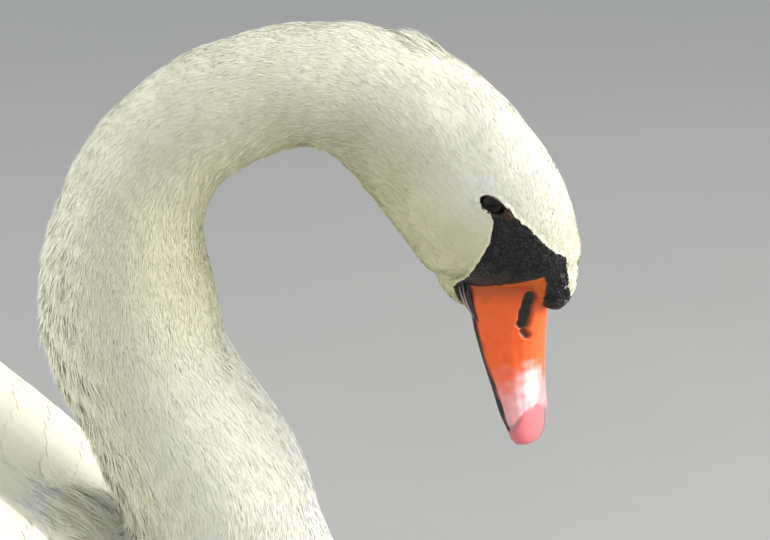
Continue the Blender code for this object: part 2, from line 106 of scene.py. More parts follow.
# %% Camera
target = Vector((0.343, 0.0, 0.3336))
CAMERA_RISE = math.radians(20.0)
CAMERA_DISTANCE = 2.14
camera_data = bpy.data.cameras.new("camera")
camera_data.lens = 200.0
camera_data.sensor_width = 36.0
camera_data.clip_start = 0.05
camera = bpy.data.objects.new("camera", camera_data)
bpy.context.collection.objects.link(camera)
camera.location = target + CAMERA_DISTANCE * Vector((0, -math.cos(CAMERA_RISE), math.sin(CAMERA_RISE)))
camera.rotation_euler = (math.pi / 2 - CAMERA_RISE, 0, 0)
bpy.context.scene.camera = camera
bpy.context.scene.view_settings.view_transform = "Standard"
print("camera at", [round(v, 3) for v in camera.location])

# %% Studio lights
# Name, place, aim and size in metres, power in watts, colour.
LAMPS = (
    ("key", (1.95, 0.1, 1.5), (0.3, 0, 0.35), 1.0, 9.0, (1.0, 0.97, 0.90)),
    ("fill", (-1.2, -1.9, 1.0), (0.3, 0, 0.3), 1.4, 1.2, (0.95, 0.97, 1.0)),
    ("front", (2.5, -0.4, 0.85), (0.35, 0, 0.25), 1.2, 26.0, (1.0, 0.98, 0.92)),
    ("top", (-0.45, -0.5, 2.1), (-0.02, 0, 0.2), 0.9, 3.6, (1.0, 0.99, 0.97)),
    ("back", (-1.9, 0.1, 0.9), (0.2, 0, 0.4), 1.2, 9.5, (1.0, 0.98, 0.93)),
)
LAMP_SPREAD = math.radians(120.0)
for name, place, aim, size, power, colour in LAMPS:
    lamp = bpy.data.lights.new(name, "AREA")
    lamp.size = size
    lamp.spread = LAMP_SPREAD
    lamp.energy = power
    lamp.color = colour
    obj = bpy.data.objects.new(name, lamp)
    bpy.context.collection.objects.link(obj)
    obj.location = place
    obj.rotation_euler = (Vector(aim) - Vector(place)).to_track_quat("-Z", "Y").to_euler()
world = bpy.data.worlds.new("studio")
world.use_nodes = True
room = world.node_tree.nodes["Background"]
room.inputs["Color"].default_value = (0.93, 0.95, 0.97, 1)
room.inputs["Strength"].default_value = 0.71
bpy.context.scene.world = world

# %% [markdown]
# ## Short words for meshes and materials
# Most pieces here are meshes computed as arrays of points, which is by far the fastest way to make
# many thousand feathers in Blender. Their colours come from shader nodes, helped by numbers stored
# on the mesh itself, such as how near a point is to the edge of the black skin.

# %% Mesh helpers


def new_object(name, points, face_arrays, material):
    """A smooth mesh object from workshop points and arrays of faces with equal corner counts."""
    corners = np.concatenate([np.asarray(f).ravel() for f in face_arrays]).astype(np.int32)
    counts = np.concatenate([np.full(len(f), np.shape(f)[1]) for f in face_arrays])
    mesh = bpy.data.meshes.new(name)
    mesh.vertices.add(len(points))
    mesh.vertices.foreach_set("co", to_world(points).astype(np.float32).ravel())
    mesh.loops.add(len(corners))
    mesh.loops.foreach_set("vertex_index", corners)
    mesh.polygons.add(len(counts))
    starts = np.concatenate([[0], np.cumsum(counts)[:-1]])
    mesh.polygons.foreach_set("loop_start", starts.astype(np.int32))
    mesh.update(calc_edges=True)
    mesh.shade_smooth()
    obj = bpy.data.objects.new(name, mesh)
    bpy.context.collection.objects.link(obj)
    mesh.materials.append(material)
    return obj


def store(obj, **values):
    """Keep one number per vertex on the mesh, for the materials to read."""
    for name, data in values.items():
        layer = obj.data.attributes.new(name, "FLOAT", "POINT")
        layer.data.foreach_set("value", np.asarray(data, np.float32))


def read(items, field, width, kind=np.float32):
    """One field of a mesh's items as an array, a row for each item."""
    flat = np.empty(len(items) * width, kind)
    items.foreach_get(field, flat)
    return flat.reshape(-1, width)


def read_points(mesh):
    """A mesh's points in workshop millimetres."""
    return from_world(read(mesh.vertices, "co", 3))


def read_normals(mesh):
    """A mesh's vertex normals."""
    return read(mesh.vertices, "normal", 3).astype(float)


def read_edges(mesh):
    """A mesh's edges as pairs of points."""
    return read(mesh.edges, "vertices", 2, np.int32)


def write_points(mesh, points):
    """Put points in workshop millimetres back on a mesh."""
    mesh.vertices.foreach_set("co", to_world(points).astype(np.float32).ravel())
    mesh.update()


def store_map(obj, name, places):
    """Keep a UV map, given as one place per vertex."""
    mesh = obj.data
    corners = read(mesh.loops, "vertex_index", 1, np.int32).ravel()
    layer = mesh.uv_layers.new(name=name)
    layer.uv.foreach_set("vector", np.asarray(places, np.float32)[corners].ravel())


def grid_faces(rows, columns, closed=False):
    """Quads between the points of a grid, which may close round its columns."""
    i, j = np.meshgrid(np.arange(rows - 1), np.arange(columns if closed else columns - 1), indexing="ij")
    k = (j + 1) % columns
    quads = (i * columns + j, i * columns + k, (i + 1) * columns + k, (i + 1) * columns + j)
    return np.stack([q.ravel() for q in quads], axis=1)


def smooth_step(x, low, high):
    """0 below low, 1 above high, and a smooth rise between."""
    t = np.clip((np.asarray(x, float) - low) / (high - low), 0, 1)
    return t * t * (3 - 2 * t)


def smooth_through(stations):
    """A smooth function through (position, values) pairs, for one number or an array."""
    xs = np.array([s[0] for s in sorted(stations)], float)
    ys = np.array([np.atleast_1d(s[1]) for s in sorted(stations)], float)
    slopes = np.gradient(ys, xs, axis=0)

    def value(x):
        x = np.clip(np.asarray(x, float), xs[0], xs[-1])
        i = np.clip(np.searchsorted(xs, x, side="right") - 1, 0, len(xs) - 2)
        h = (xs[i + 1] - xs[i])[..., None]
        t = (x - xs[i])[..., None] / h
        return ((2 * t**3 - 3 * t**2 + 1) * ys[i] + (t**3 - 2 * t**2 + t) * h * slopes[i]
                + (3 * t**2 - 2 * t**3) * ys[i + 1] + (t**3 - t**2) * h * slopes[i + 1])
    return value


def unit(vectors):
    """Vectors of length one."""
    return vectors / np.maximum(np.linalg.norm(vectors, axis=-1, keepdims=True), 1e-9)


def near_path(here, path):
    """Distance from places on a flat drawing to a bent line."""
    closest = np.full(here.shape[:-1], 1e9)
    for a, b in zip(path[:-1], path[1:]):
        t = np.clip(((here - a) @ (b - a)) / ((b - a) @ (b - a)), 0, 1)[..., None]
        closest = np.minimum(closest, np.linalg.norm(here - a - t * (b - a), axis=-1))
    return closest


def ripple(points, size, seed):
    """A gentle random field from -1 to 1 whose waves are about the given size, in millimetres."""
    draw = np.random.default_rng(seed)
    total = 0
    for _ in range(5):
        direction = unit(draw.normal(size=3)) * (2 * math.pi / size) * draw.uniform(0.7, 1.4)
        total = total + np.sin(points @ direction + draw.uniform(0, 2 * math.pi))
    return total / 3.2


print("ripple test", ripple(np.array([[0.0, 0, 0], [5, 5, 5]]), 10, 1).round(2))

# %% Material helpers


def new_material(name, roughness, **fixed):
    """A Principled material; fixed values go straight to its sockets. Returns it and its tree."""
    material = bpy.data.materials.new(name)
    material.use_nodes = True
    shader = material.node_tree.nodes["Principled BSDF"]
    shader.inputs["Roughness"].default_value = roughness
    for key, value in fixed.items():
        shader.inputs[key.replace("_", " ")].default_value = value
    return material, material.node_tree, shader


def feed(tree, socket, value):
    """Give a socket a number, a colour or another node's output."""
    if isinstance(value, bpy.types.NodeSocket):
        tree.links.new(value, socket)
    else:
        socket.default_value = value


def node(tree, kind, settings=None, **inputs):
    """A new node with its settings and inputs, found by name."""
    made = tree.nodes.new("ShaderNode" + kind)
    for key, value in (settings or {}).items():
        setattr(made, key, value)
    for key, value in inputs.items():
        feed(tree, made.inputs[key.replace("_", " ")], value)
    return made


def stored(tree, name):
    """A number kept on the mesh."""
    return node(tree, "Attribute", {"attribute_name": name}).outputs["Fac"]


def on_object(tree):
    """Places in the object's own space, in metres."""
    return node(tree, "TexCoord").outputs["Object"]


def noise_of(tree, scale, detail=3.0, where=None):
    """A noise pattern over the object, with its scale in waves per metre."""
    return node(tree, "TexNoise", Vector=where or on_object(tree), Scale=scale, Detail=detail).outputs["Fac"]


def cells_of(tree, scale, feature):
    """A pattern of cells over the object, with its scale in cells per metre."""
    cells = node(tree, "TexVoronoi", {"feature": feature}, Scale=scale, Vector=on_object(tree))
    return cells.outputs["Distance"]


def ranged(tree, value, low, high, to_low=0.0, to_high=1.0):
    """A value brought smoothly from one range to another."""
    made = node(tree, "MapRange", {"interpolation_type": "SMOOTHSTEP"})
    for index, number in enumerate((value, low, high, to_low, to_high)):
        feed(tree, made.inputs[index], number)
    return made.outputs["Result"]


def mixed(tree, share, first, second):
    """A colour between two colours."""
    made = node(tree, "Mix", {"data_type": "RGBA"})
    for index, value in ((0, share), (6, first), (7, second)):
        feed(tree, made.inputs[index], value)
    return made.outputs[2]


def sum_of(tree, operation, first, second):
    """Arithmetic on two values."""
    made = node(tree, "Math", {"operation": operation})
    feed(tree, made.inputs[0], first)
    feed(tree, made.inputs[1], second)
    return made.outputs[0]


def paint_all(tree, shader, colour):
    """Give the surface its colour."""
    feed(tree, shader.inputs["Base Color"], colour)


def bump_from(tree, shader, height, depth_mm, strength):
    """Raise the surface by a height pattern."""
    made = node(tree, "Bump", Height=height, Distance=depth_mm * MM, Strength=strength)
    tree.links.new(made.outputs["Normal"], shader.inputs["Normal"])


def paint(red, green, blue):
    """A colour as a socket wants it."""
    return (red, green, blue, 1.0)


print("helpers ready")

# %% [markdown]
# The floor is one wide sheet, so large that its edge never shows, with a very faint mottling such
# as painted board has.

# %% Floor
floor_material, tree, shader = new_material("studio_floor", 0.85)
paint_all(tree, shader, mixed(tree, noise_of(tree, 6.0), paint(0.34, 0.345, 0.345), paint(0.37, 0.375, 0.37)))
FLOOR_HALF = 12000.0
FLOOR_DROP = 0.2
square = np.array([(-1, -1, 0), (1, -1, 0), (1, 1, 0), (-1, 1, 0)], float) * FLOOR_HALF
floor = new_object("floor", square - (0, 0, FLOOR_DROP), [np.array([[0, 1, 2, 3]])], floor_material)
print("floor", floor.dimensions[:])

# %% [markdown]
# ## Reading the body
# Everything that grows on the bird needs to know where it is: how far along the neck, how far
# round it, whether on the head, and which way feathers lie there. Feathers lie from the bill
# backwards, down the neck, over the breast and along the trunk, so the neck's middle line gives
# their direction, and below it they turn back towards the tail.

# %% The neck's middle line and the places along it
# X, Y, Z of the middle from inside the breast to the nape, and the neck's mean half width there.
neck_route = smooth_through(list(enumerate([
    (146, 0, 96, 55), (137, 0, 130, 58), (127, 0, 160, 56), (115, 0, 192, 51), (104, 0, 222, 48.5),
    (91, 0, 250, 45.5), (77, 0, 277, 43), (68, 0, 300, 44.5), (63.5, 0, 325, 43.6),
    (62.5, 0, 350, 40), (70, 0, 380, 36), (88, 0, 405, 33.5), (111, 0, 419.5, 33),
    (133, 0, 427.5, 32.4), (154, 0, 430, 33), (175, 0, 428, 35), (197, -0.5, 417.6, 37.5),
    (219, -3.5, 399, 40), (239, -11.5, 374.6, 40), (251, -17, 354, 36), (255.2, -18.9, 346, 33),
])))
NECK_LAST = 20.0
places = np.linspace(0, NECK_LAST, 401)
middle_line = neck_route(places)
line_points = middle_line[:, :3]
line_forward = unit(np.gradient(line_points, axis=0))
AT_A_TIME = 20000


def read_place(points):
    """Nearest place on the neck's middle line, distance from it as a share of its half width,
    direction of the line, and angle round it (0 on the left, a quarter turn at the back)."""
    nearest = np.empty(len(points), int)
    for start in range(0, len(points), AT_A_TIME):
        block = points[start:start + AT_A_TIME]
        away = ((block[:, None, :] - line_points[None]) ** 2).sum(axis=2)
        nearest[start:start + AT_A_TIME] = away.argmin(axis=1)
    forward = line_forward[nearest]
    offset = points - line_points[nearest]
    share = np.linalg.norm(offset, axis=1) / middle_line[nearest, 3]
    sideways = unit(np.array((0.0, 1.0, 0.0)) - forward * forward[:, 1:2])
    outward = np.cross(forward, sideways)
    angle = np.arctan2((offset * outward).sum(axis=1), (offset * sideways).sum(axis=1))
    return places[nearest], share, forward, angle


line_length = np.linalg.norm(np.diff(line_points, axis=0), axis=1).sum()
print("middle line", round(float(line_length)), "mm long")

# %% [markdown]
# The black mask runs from the eye to the knob and down to the corner of the mouth. It is the same
# on both sides of the head, so one outline in the head's own directions serves for both, and the
# distance to that outline tells skin and feathers alike where black begins. On top, a white wedge
# of the forehead runs down between the two sides to the foot of the knob; its last part, over the
# knob's crest, is white painted for the light falling there.

# %% The outline of the bare black skin
# Along and up on the head.
black_outline = np.array([
    (1.5, 4.6), (5, 7.4), (10, 9.8), (15, 14), (23, 18.5), (30, 22.5), (36, 27), (42, 40), (75, 40),
    (75, -30), (64, -31.5), (54, -34.5), (46, -34.5), (43, -30), (41, -25), (37.5, -19), (29, -10.5),
    (21, -4.5), (15, -2.2), (9.5, -0.4), (6, -1.5),
], float)
# Along the head, and the white wedge's half breadth there.
# Near its end, over the knob's crest, the wedge runs past the feathers' real end: white painted there for
# light on the crest.
wedge_breadth = np.array([(26, 14.5), (33.6, 9.3), (43, 5.8), (52, 5.4), (57, 2.5), (60, -2)])


def inside_black(points):
    """Millimetres inside the black skin's outline, negative outside it."""
    head = in_head(points)
    flat = head[:, (0, 2)]
    loop = np.concatenate([black_outline, black_outline[:1]])
    closest = near_path(flat, loop)
    inside = np.zeros(len(points), bool)
    for a, b in zip(loop[:-1], loop[1:]):
        crosses = (a[1] > flat[:, 1]) != (b[1] > flat[:, 1])
        slope = (b[0] - a[0]) * (flat[:, 1] - a[1]) / (b[1] - a[1] + 1e-12) + a[0]
        inside ^= crosses & (flat[:, 0] < slope)
    black = np.where(inside, closest, -closest)
    beside_wedge = np.abs(head[:, 1]) - np.interp(head[:, 0], *wedge_breadth.T)
    on_top = (head[:, 2] > 8) & (head[:, 0] > 20)
    return np.where(on_top, np.minimum(black, beside_wedge), black) + 0.3 * ripple(points, 4.0, 11)


print("black outline has", len(black_outline), "corners")

# %% [markdown]
# ## One skin over all the flesh
# The plain model is parted at the neck, wings and tail, with hairline gaps. On a real bird all of
# it is one skin. A voxel remesh melts the parts into a single closed surface: each copy is first
# swollen by less than half a millimetre so that they overlap. The feathered chin, which runs on a
# little under the lower bill, joins in. A few rounds of smoothing take off the voxels' steps,
# shrinking and swelling in turn so that nothing wastes away.

# %% Melt the parts together


def join_solids(names, swell):
    """Copies of plain solids in one mesh, each swollen by some millimetres so that they overlap."""
    joined = bmesh.new()
    for name in names:
        part = solids[name].data.copy()
        for vertex, normal in zip(part.vertices, [v.normal.copy() for v in part.vertices]):
            vertex.co += normal * swell * MM
        joined.from_mesh(part)
    return joined


def melt(joined, voxel):
    """One closed surface round everything in a mesh, built from voxels of a size in millimetres."""
    rough = bpy.data.meshes.new("rough")
    joined.to_mesh(rough)
    joined.free()
    obj = bpy.data.objects.new("rough", rough)
    bpy.context.collection.objects.link(obj)
    remesh = obj.modifiers.new("remesh", "REMESH")
    remesh.mode = "VOXEL"
    remesh.voxel_size = voxel * MM
    melted = bpy.data.meshes.new_from_object(obj.evaluated_get(bpy.context.evaluated_depsgraph_get()))
    bpy.data.objects.remove(obj)
    return melted


FLESH = ("trunk", "tail", "neck_lower", "neck_middle", "neck_upper", "head", "wing_left", "wing_right",
         "knob", "eye_left", "eye_right")
CHIN_PLACE = (38.0, 0.0, -33.0)
CHIN_RADII = (23.0, 18.0, 16.5)
flesh = join_solids(FLESH, 0.4)
for vertex in bmesh.ops.create_icosphere(flesh, subdivisions=4, radius=1.0)["verts"]:
    vertex.co = to_world(on_head(np.array(CHIN_PLACE) + np.array(vertex.co) * CHIN_RADII))
melted = melt(flesh, 3.0)
print("melted skin:", len(melted.polygons), "faces")

# %% [markdown]
# The plain solids have flat facets a few centimetres wide, which would show on smooth white wings.
# Averaging each point of the body with its neighbours melts them away. The head gets the most
# care, so its faces are split once, and those round the eyes, the black skin and the knob twice.
# That leaves the trunk light and gives the face room for detail.

# %% Soften the body


def neighbour_mean(points, edges):
    """The mean of each point's neighbours along the mesh's edges."""
    count = np.maximum(np.bincount(edges.ravel(), minlength=len(points)), 1)
    return np.stack([(np.bincount(edges[:, 0], points[edges[:, 1], k], len(points))
                      + np.bincount(edges[:, 1], points[edges[:, 0], k], len(points))) / count
                     for k in range(3)], axis=1)


def relaxed(points, edges, times):
    """Points smoothed along the mesh's edges, without shrinking."""
    for turn in range(times * 2):
        share = 0.5 if turn % 2 == 0 else -0.51
        points = points + share * (neighbour_mean(points, edges) - points)
    return points


SMOOTHING = 30
# Millimetres kept clear of the floor by the skin, the tufts, the vanes and the feet.
SKIN_CLEAR, TUFT_CLEAR, VANE_CLEAR, FOOT_CLEAR = 0.6, 0.15, 0.3, 0.05
body_points, body_edges = read_points(melted), read_edges(melted)
softened = np.maximum(smooth_step(-body_points[:, 0], -30, 0), smooth_step(-body_points[:, 2], -205, -175))
softened = (softened * smooth_step(body_points[:, 0], -440, -400))[:, None] * 0.5
for _ in range(SMOOTHING):
    body_points = body_points + softened * (neighbour_mean(body_points, body_edges) - body_points)
write_points(melted, body_points)
print("body softened by", SMOOTHING, "rounds")

# %% Split faces round the face
skin_mesh = bmesh.new()
skin_mesh.from_mesh(melted)


def split_where(wanted):
    """Split the edges whose both ends pass a test on their places."""
    points = from_world([v.co for v in skin_mesh.verts])
    chosen = wanted(points)
    edges = [e for e in skin_mesh.edges if chosen[e.verts[0].index] and chosen[e.verts[1].index]]
    bmesh.ops.subdivide_edges(skin_mesh, edges=edges, cuts=1, use_grid_fill=True)
    skin_mesh.verts.index_update()
    return len(edges)


def near_head(points, back=-34.0):
    """Whether points are on the head, from some way behind the eyes to the knob."""
    head = in_head(points)
    return (head[:, 0] > back) & (head[:, 0] < 70) & (np.linalg.norm(head[:, 1:] - (0, -4), axis=1) < 62)


skin_mesh.verts.ensure_lookup_table()
print("edges split:", split_where(near_head), split_where(
    lambda p: near_head(p, -12.0) & ((inside_black(p) > -4) | (abs(in_head(p)[:, 1]) > 17))))
bmesh.ops.triangulate(skin_mesh, faces=[f for f in skin_mesh.faces if len(f.verts) > 4])
skin_data = bpy.data.meshes.new("skin")
skin_mesh.to_mesh(skin_data)
skin_mesh.free()
skin_edges = read_edges(skin_data)
write_points(skin_data, relaxed(read_points(skin_data), skin_edges, 6))
print("skin:", len(skin_data.vertices), "points")

# %% [markdown]
# Feathers have depth, so the skin is drawn in by the depth of the coat: about a millimetre on the
# face, two and a half on the neck and five on the body, and hardly at all where it is bare. The
# tail is drawn in to a thin core, since a bird's tail is all feathers. Round each eye the skin
# sinks below the ball, so that ball and lids can sit in a socket. An eye looks a little upwards,
# as the side of the head does there, and its opening is an oval that slants down to the bill.

# %% Where the eyes are
EYE_PLACE = np.array((2.0, 20.5, -3.5))
EYE_RADIUS = 8.0
# Half length and half height of the opening, and how far the lids spread beyond it.
OPENING = (5.6, 3.5)
LID_SPREAD = 0.34
eye_out = unit(np.array((0.0, 0.92, 0.38)))
eye_long = unit(np.array((0.62, 0.0, 0.78)) - eye_out * (0.78 * 0.38))
eye_short = np.cross(eye_out, eye_long)
eye_axes = np.array((eye_long, eye_short, eye_out))


def at_eye(points):
    """Share of the eye's opening (1 on its rim) and place along, across and out of the nearer eye."""
    head = in_head(points)
    flips = np.stack([np.ones(len(head)), np.sign(head[:, 1]), np.ones(len(head))], axis=1)
    local = (head * flips - EYE_PLACE) @ eye_axes.T
    share = np.hypot(local[:, 0] / OPENING[0], local[:, 1] / OPENING[1])
    return np.where(local[:, 2] > 0, share, 99.0), local


print("eye looks along", eye_out.round(2))

# %% Where each point of the skin is


def distances(name):
    """How far each point of the skin is from one plain solid."""
    mesh = solids[name].data
    faces = [tuple(f.vertices) for f in mesh.polygons]
    tree = BVHTree.FromPolygons([v.co[:] for v in mesh.vertices], faces)
    return np.array([tree.find_nearest(point)[3] for point in to_world(outer).tolist()])


outer = read_points(skin_data)
to_wing = np.minimum(distances("wing_left"), distances("wing_right"))
is_tail = (distances("tail") < to_wing) & (outer[:, 0] < -410)
normals = read_normals(skin_data)
place, off_line, forward, angle = read_place(outer)
on_neck = smooth_step(place, 2.6, 4.4) * (1 - smooth_step(off_line, 1.35, 1.8))
head_places = in_head(outer)
on_face = smooth_step(head_places[:, 0], -30, 12) * on_neck
black = inside_black(outer)
black = np.where(near_head(outer), black, -60.0)
black = np.maximum(black, np.clip((1.25 - at_eye(outer)[0]) * 4.0, -60.0, 3.0))
print("points on the head:", int(near_head(outer).sum()))

# %% [markdown]
# The coat isn't equally deep everywhere, and a swan's throat is slimmer than the plain solid's, so
# the skin there is drawn in a little more. Below the bill it is let out to fill the chin, and on
# the knob's top it sinks towards the forehead.

# %% Draw the skin in under the coat
behind = smooth_step(-outer[:, 0], 380, 480)
BODY_COAT = 5.0
NECK_COAT = 2.4
FACE_COAT = 1.1
coat_depth = BODY_COAT + (NECK_COAT - BODY_COAT) * on_neck
coat_depth = coat_depth + (FACE_COAT - coat_depth) * on_face
coat_depth = coat_depth * (1 - 0.75 * behind) * (1 - 0.9 * smooth_step(black, -1.5, 0.5))
under = head_places[:, 2]
slim = smooth_step(-under, 32, 48) * smooth_step(under, -105, -88) * smooth_step(head_places[:, 0], -65, -25)
slim = 1.9 * slim * (1 - smooth_step(head_places[:, 0], 24, 35)) * on_neck
fill = smooth_step(-under, 24, 38) * smooth_step(under, -80, -65) * smooth_step(head_places[:, 0], 26, 37)
fill = 1.5 * fill * (1 - smooth_step(head_places[:, 0], 60, 68))
knob_top = smooth_step(head_places[:, 0], 44, 52) * smooth_step(under, 12, 22)
coat_depth = coat_depth + slim - fill + 1.9 * knob_top
folds = 0.9 * ripple(outer * (1.0, 1.0, 0.45), 26, 5) * on_neck * (1 - on_face)
drawn = outer - normals * (coat_depth - folds)[:, None]
TAIL_LEVEL, TAIL_CORE_END = 178.0, -535.0
thin = smooth_step(-drawn[:, 0], 425, 475) * is_tail
drawn[:, 2] += (TAIL_LEVEL - 9 * smooth_step(-drawn[:, 0], 470, 590) - drawn[:, 2]) * 0.62 * thin
drawn[:, 1] *= 1 - 0.14 * thin
past = is_tail & (drawn[:, 0] < TAIL_CORE_END)
drawn[past, 0] = TAIL_CORE_END + (drawn[past, 0] - TAIL_CORE_END) * 0.2
drawn[:, 2] = np.maximum(drawn[:, 2], SKIN_CLEAR)
chin = smooth_step(head_places[:, 0], 14, 28) * (1 - smooth_step(head_places[:, 0], 56, 62))
chin = chin * smooth_step(-under, 24, 34) * (black < -2)
drawn += (relaxed(drawn, skin_edges, 70) - drawn) * chin[:, None]
drawn = relaxed(drawn, skin_edges, 2)
share, local = at_eye(drawn)
ball = np.sqrt(np.maximum(EYE_RADIUS**2 - local[:, 0]**2 - local[:, 1]**2, 0.0)) - 0.9
sink = np.maximum(local[:, 2] - ball, 0) * (1 - smooth_step(share, 1.02, 1.3))
sides = np.where(in_head(drawn)[:, 1:2] > 0, 1.0, -1.0)
drawn -= sink[:, None] * ((eye_out * (1, 0, 1) + eye_out * (0, 1, 0) * sides) @ head_axes)
write_points(skin_data, drawn)
skin_points = read_points(skin_data)
skin_normals = read_normals(skin_data)
print("depth of skin from", coat_depth.min().round(2), "to", coat_depth.max().round(2), "mm")

# %% [markdown]
# ## Colours shared by skin and coat
# The bird isn't one white. The wings are pure, and the neck and head carry a pale greenish cream.
# The same cream share also paints light and shade: the crown and the front of the lower neck, where
# the lamps fall, are kept nearly white, while the inside of the arch, the throat and the forehead get
# more greenish cream as painted shade and painted green reflection. One number per point, its
# cream-and-shade share, is worked out on the skin, and every feather takes the number of its own
# root, so that skin and coat can't disagree.

# %% How much cream and painted shade, and which way feathers lie
# Cream share: real cream stain plus painted shade and painted green reflection, highest on the throat side of
# the arch and head and on the forehead, lowest on the lit front of the lower neck.
throat_side = (1 - np.sin(angle)) / 2
cream_arch = 0.42 + 0.50 * throat_side
cream_low = 0.50 - 0.30 * throat_side
cream_head = 0.28 + 0.62 * smooth_step(throat_side, 0.25, 0.9) + 0.3 * smooth_step(head_places[:, 0], -5, 25)
cream_neck = cream_low + (cream_arch - cream_low) * smooth_step(place, 5.0, 9.0)
cream_neck = cream_neck + (cream_head - cream_neck) * smooth_step(place, 14.5, 18.0)
on_wing = smooth_step(outer[:, 2], 60, 110) * smooth_step(-outer[:, 0], -120, -40)
cream = cream_neck * on_neck + (0.15 - 0.13 * on_wing) * (1 - on_neck)
cream = np.clip(cream + 0.06 * ripple(skin_points, 22, 3), 0, 1)

turn_down = 1.7 * smooth_step(outer[:, 0], 60, 190)
turn_down = turn_down - 1.0 * smooth_step(outer[:, 2], 170, 205) * smooth_step(-outer[:, 0], -110, -60)
body_lie = np.stack([-np.ones(len(outer)), np.zeros(len(outer)), -turn_down], axis=1)
neck_lie = smooth_step(place, 2.6, 4.4) * (1 - smooth_step(off_line, 1.12, 1.36))
lie = -forward * neck_lie[:, None] + body_lie * (1 - neck_lie)[:, None]
lie = unit(lie - skin_normals * (lie * skin_normals).sum(axis=1, keepdims=True))
print("cream from", cream.min().round(2), "to", cream.max().round(2))

# %% [markdown]
# ## Skin material
# One material paints feathered skin and bare black skin, with the stored distance to the black
# outline as the switch. The bare skin is pebbled: cells of a Voronoi pattern stand up as small
# beads, closest on the knob, with painted highlights on the bead tops of its crest, and it turns
# brown towards the eye. Along the bill's root and up the side of the knob the horn's orange creeps over it.

# %% Paint the skin
WHITE = paint(0.86, 0.865, 0.84)
# This greenish cream is both the stain's colour and the colour of the painted shade.
CREAM_AND_SHADE = paint(0.74, 0.73, 0.465)
skin_material, tree, shader = new_material("swan_skin", 0.7, Specular_IOR_Level=0.3)
bare = ranged(tree, stored(tree, "black"), -0.25, 0.25)
down = mixed(tree, stored(tree, "cream"), WHITE, CREAM_AND_SHADE)
shaded = ranged(tree, noise_of(tree, 260.0, 4.0), 0.35, 0.7, 0.0, 0.3)
down = mixed(tree, shaded, down, paint(0.62, 0.61, 0.48))
beads = cells_of(tree, 620.0, "F1")
patches = noise_of(tree, 210.0, 4.0)
between_beads = ranged(tree, beads, 0.1, 0.55)
skin_black = mixed(tree, between_beads, paint(0.026, 0.025, 0.026), paint(0.005, 0.005, 0.005))
skin_black = mixed(tree, ranged(tree, patches, 0.5, 0.75, 0.0, 0.5), skin_black, paint(0.040, 0.039, 0.040))
skin_black = mixed(tree, stored(tree, "brown"), skin_black, paint(0.070, 0.030, 0.016))
# Painted highlights: pale grey on the tops of the beads along the knob's crest, standing for light on wet
# skin.
worn_tops = sum_of(tree, "MULTIPLY", stored(tree, "worn"), ranged(tree, beads, 0.55, 0.2))
worn_tops = sum_of(tree, "MULTIPLY", worn_tops, ranged(tree, patches, 0.4, 0.6))
skin_black = mixed(tree, worn_tops, skin_black, paint(0.55, 0.55, 0.58))
warm = mixed(tree, patches, paint(0.62, 0.10, 0.012), paint(0.74, 0.15, 0.020))
skin_black = mixed(tree, stored(tree, "orange"), skin_black, warm)
paint_all(tree, shader, mixed(tree, bare, down, skin_black))
feed(tree, shader.inputs["Roughness"], ranged(tree, stored(tree, "black"), -0.25, 0.25, 0.8, 0.5))
relief = sum_of(tree, "MULTIPLY", sum_of(tree, "SUBTRACT", 1.0, beads), bare)
bump_from(tree, shader, relief, 0.5, 0.8)
print("skin nodes:", len(tree.nodes))

# %% [markdown]
# The knob's beads are real shape as well as shading: its points are pushed in and out by a fine
# cell pattern. The black skin also creases where the bill's root meets it, and sinks a little
# below the feathers round it.

# %% Finish the skin
head_now = in_head(skin_points)
knob_share = smooth_step(np.linalg.norm((head_now - (49, 0, 12.5)) / (19, 15, 17), axis=1), 1.15, 0.85)
beaded = ripple(skin_points, 3.4, 21) * 0.10 + ripple(skin_points, 6.0, 22) * 0.25
skin_points = skin_points + skin_normals * (beaded * knob_share * (black > 0))[:, None]
write_points(skin_data, skin_points)
skin_data.shade_smooth()
skin_data.materials.append(skin_material)
skin = bpy.data.objects.new("skin", skin_data)
bpy.context.collection.objects.link(skin)
# Where the painted highlights go: the beads on the knob's crest.
worn_top = knob_share * smooth_step(head_now[:, 2], 15, 22) * smooth_step(head_now[:, 0], 42, 50)
worn_top = worn_top * smooth_step(-np.abs(head_now[:, 1]), -11.5, -8.0)
brown = 0.8 * smooth_step(-np.hypot(head_now[:, 0] - 7.0, head_now[:, 2] - 7.5), -4.5, -1.5)
root_line = 46.6 - 0.104 * (head_now[:, 2] + 23) + 0.25 * ripple(skin_points, 4, 24)
past_root = head_now[:, 0] - 44.4
knob_line = 15.0 - 0.2 * past_root - 0.018 * past_root * np.abs(past_root) + 0.3 * ripple(skin_points, 4, 25)
orange = smooth_step(head_now[:, 0] - root_line, -0.3, 0.4)
orange = orange * smooth_step(knob_line - head_now[:, 2], -0.4, 0.4)
orange = orange * (head_now[:, 2] > -24) * (black > 0)
store(skin, cream=cream, black=black, brown=brown, worn=0.9 * worn_top, orange=orange)
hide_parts("trunk", "tail", "neck_lower", "neck_middle", "neck_upper", "head",
            "wing_left", "wing_right", "knob")
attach(skin, "root")

polygons = [tuple(p.vertices) for p in skin_data.polygons]
skin_tree = BVHTree.FromPolygons(skin_points.tolist(), polygons)
skin_data.calc_loop_triangles()
triangles = read(skin_data.loop_triangles, "vertices", 3, np.int32)
tri_points = skin_points[triangles]
tri_sides = tri_points[:, 1:] - tri_points[:, :1]
tri_area = np.linalg.norm(np.cross(tri_sides[:, 0], tri_sides[:, 1]), axis=1) / 2
print("skin area", round(tri_area.sum() / 1e6, 3), "square metres")
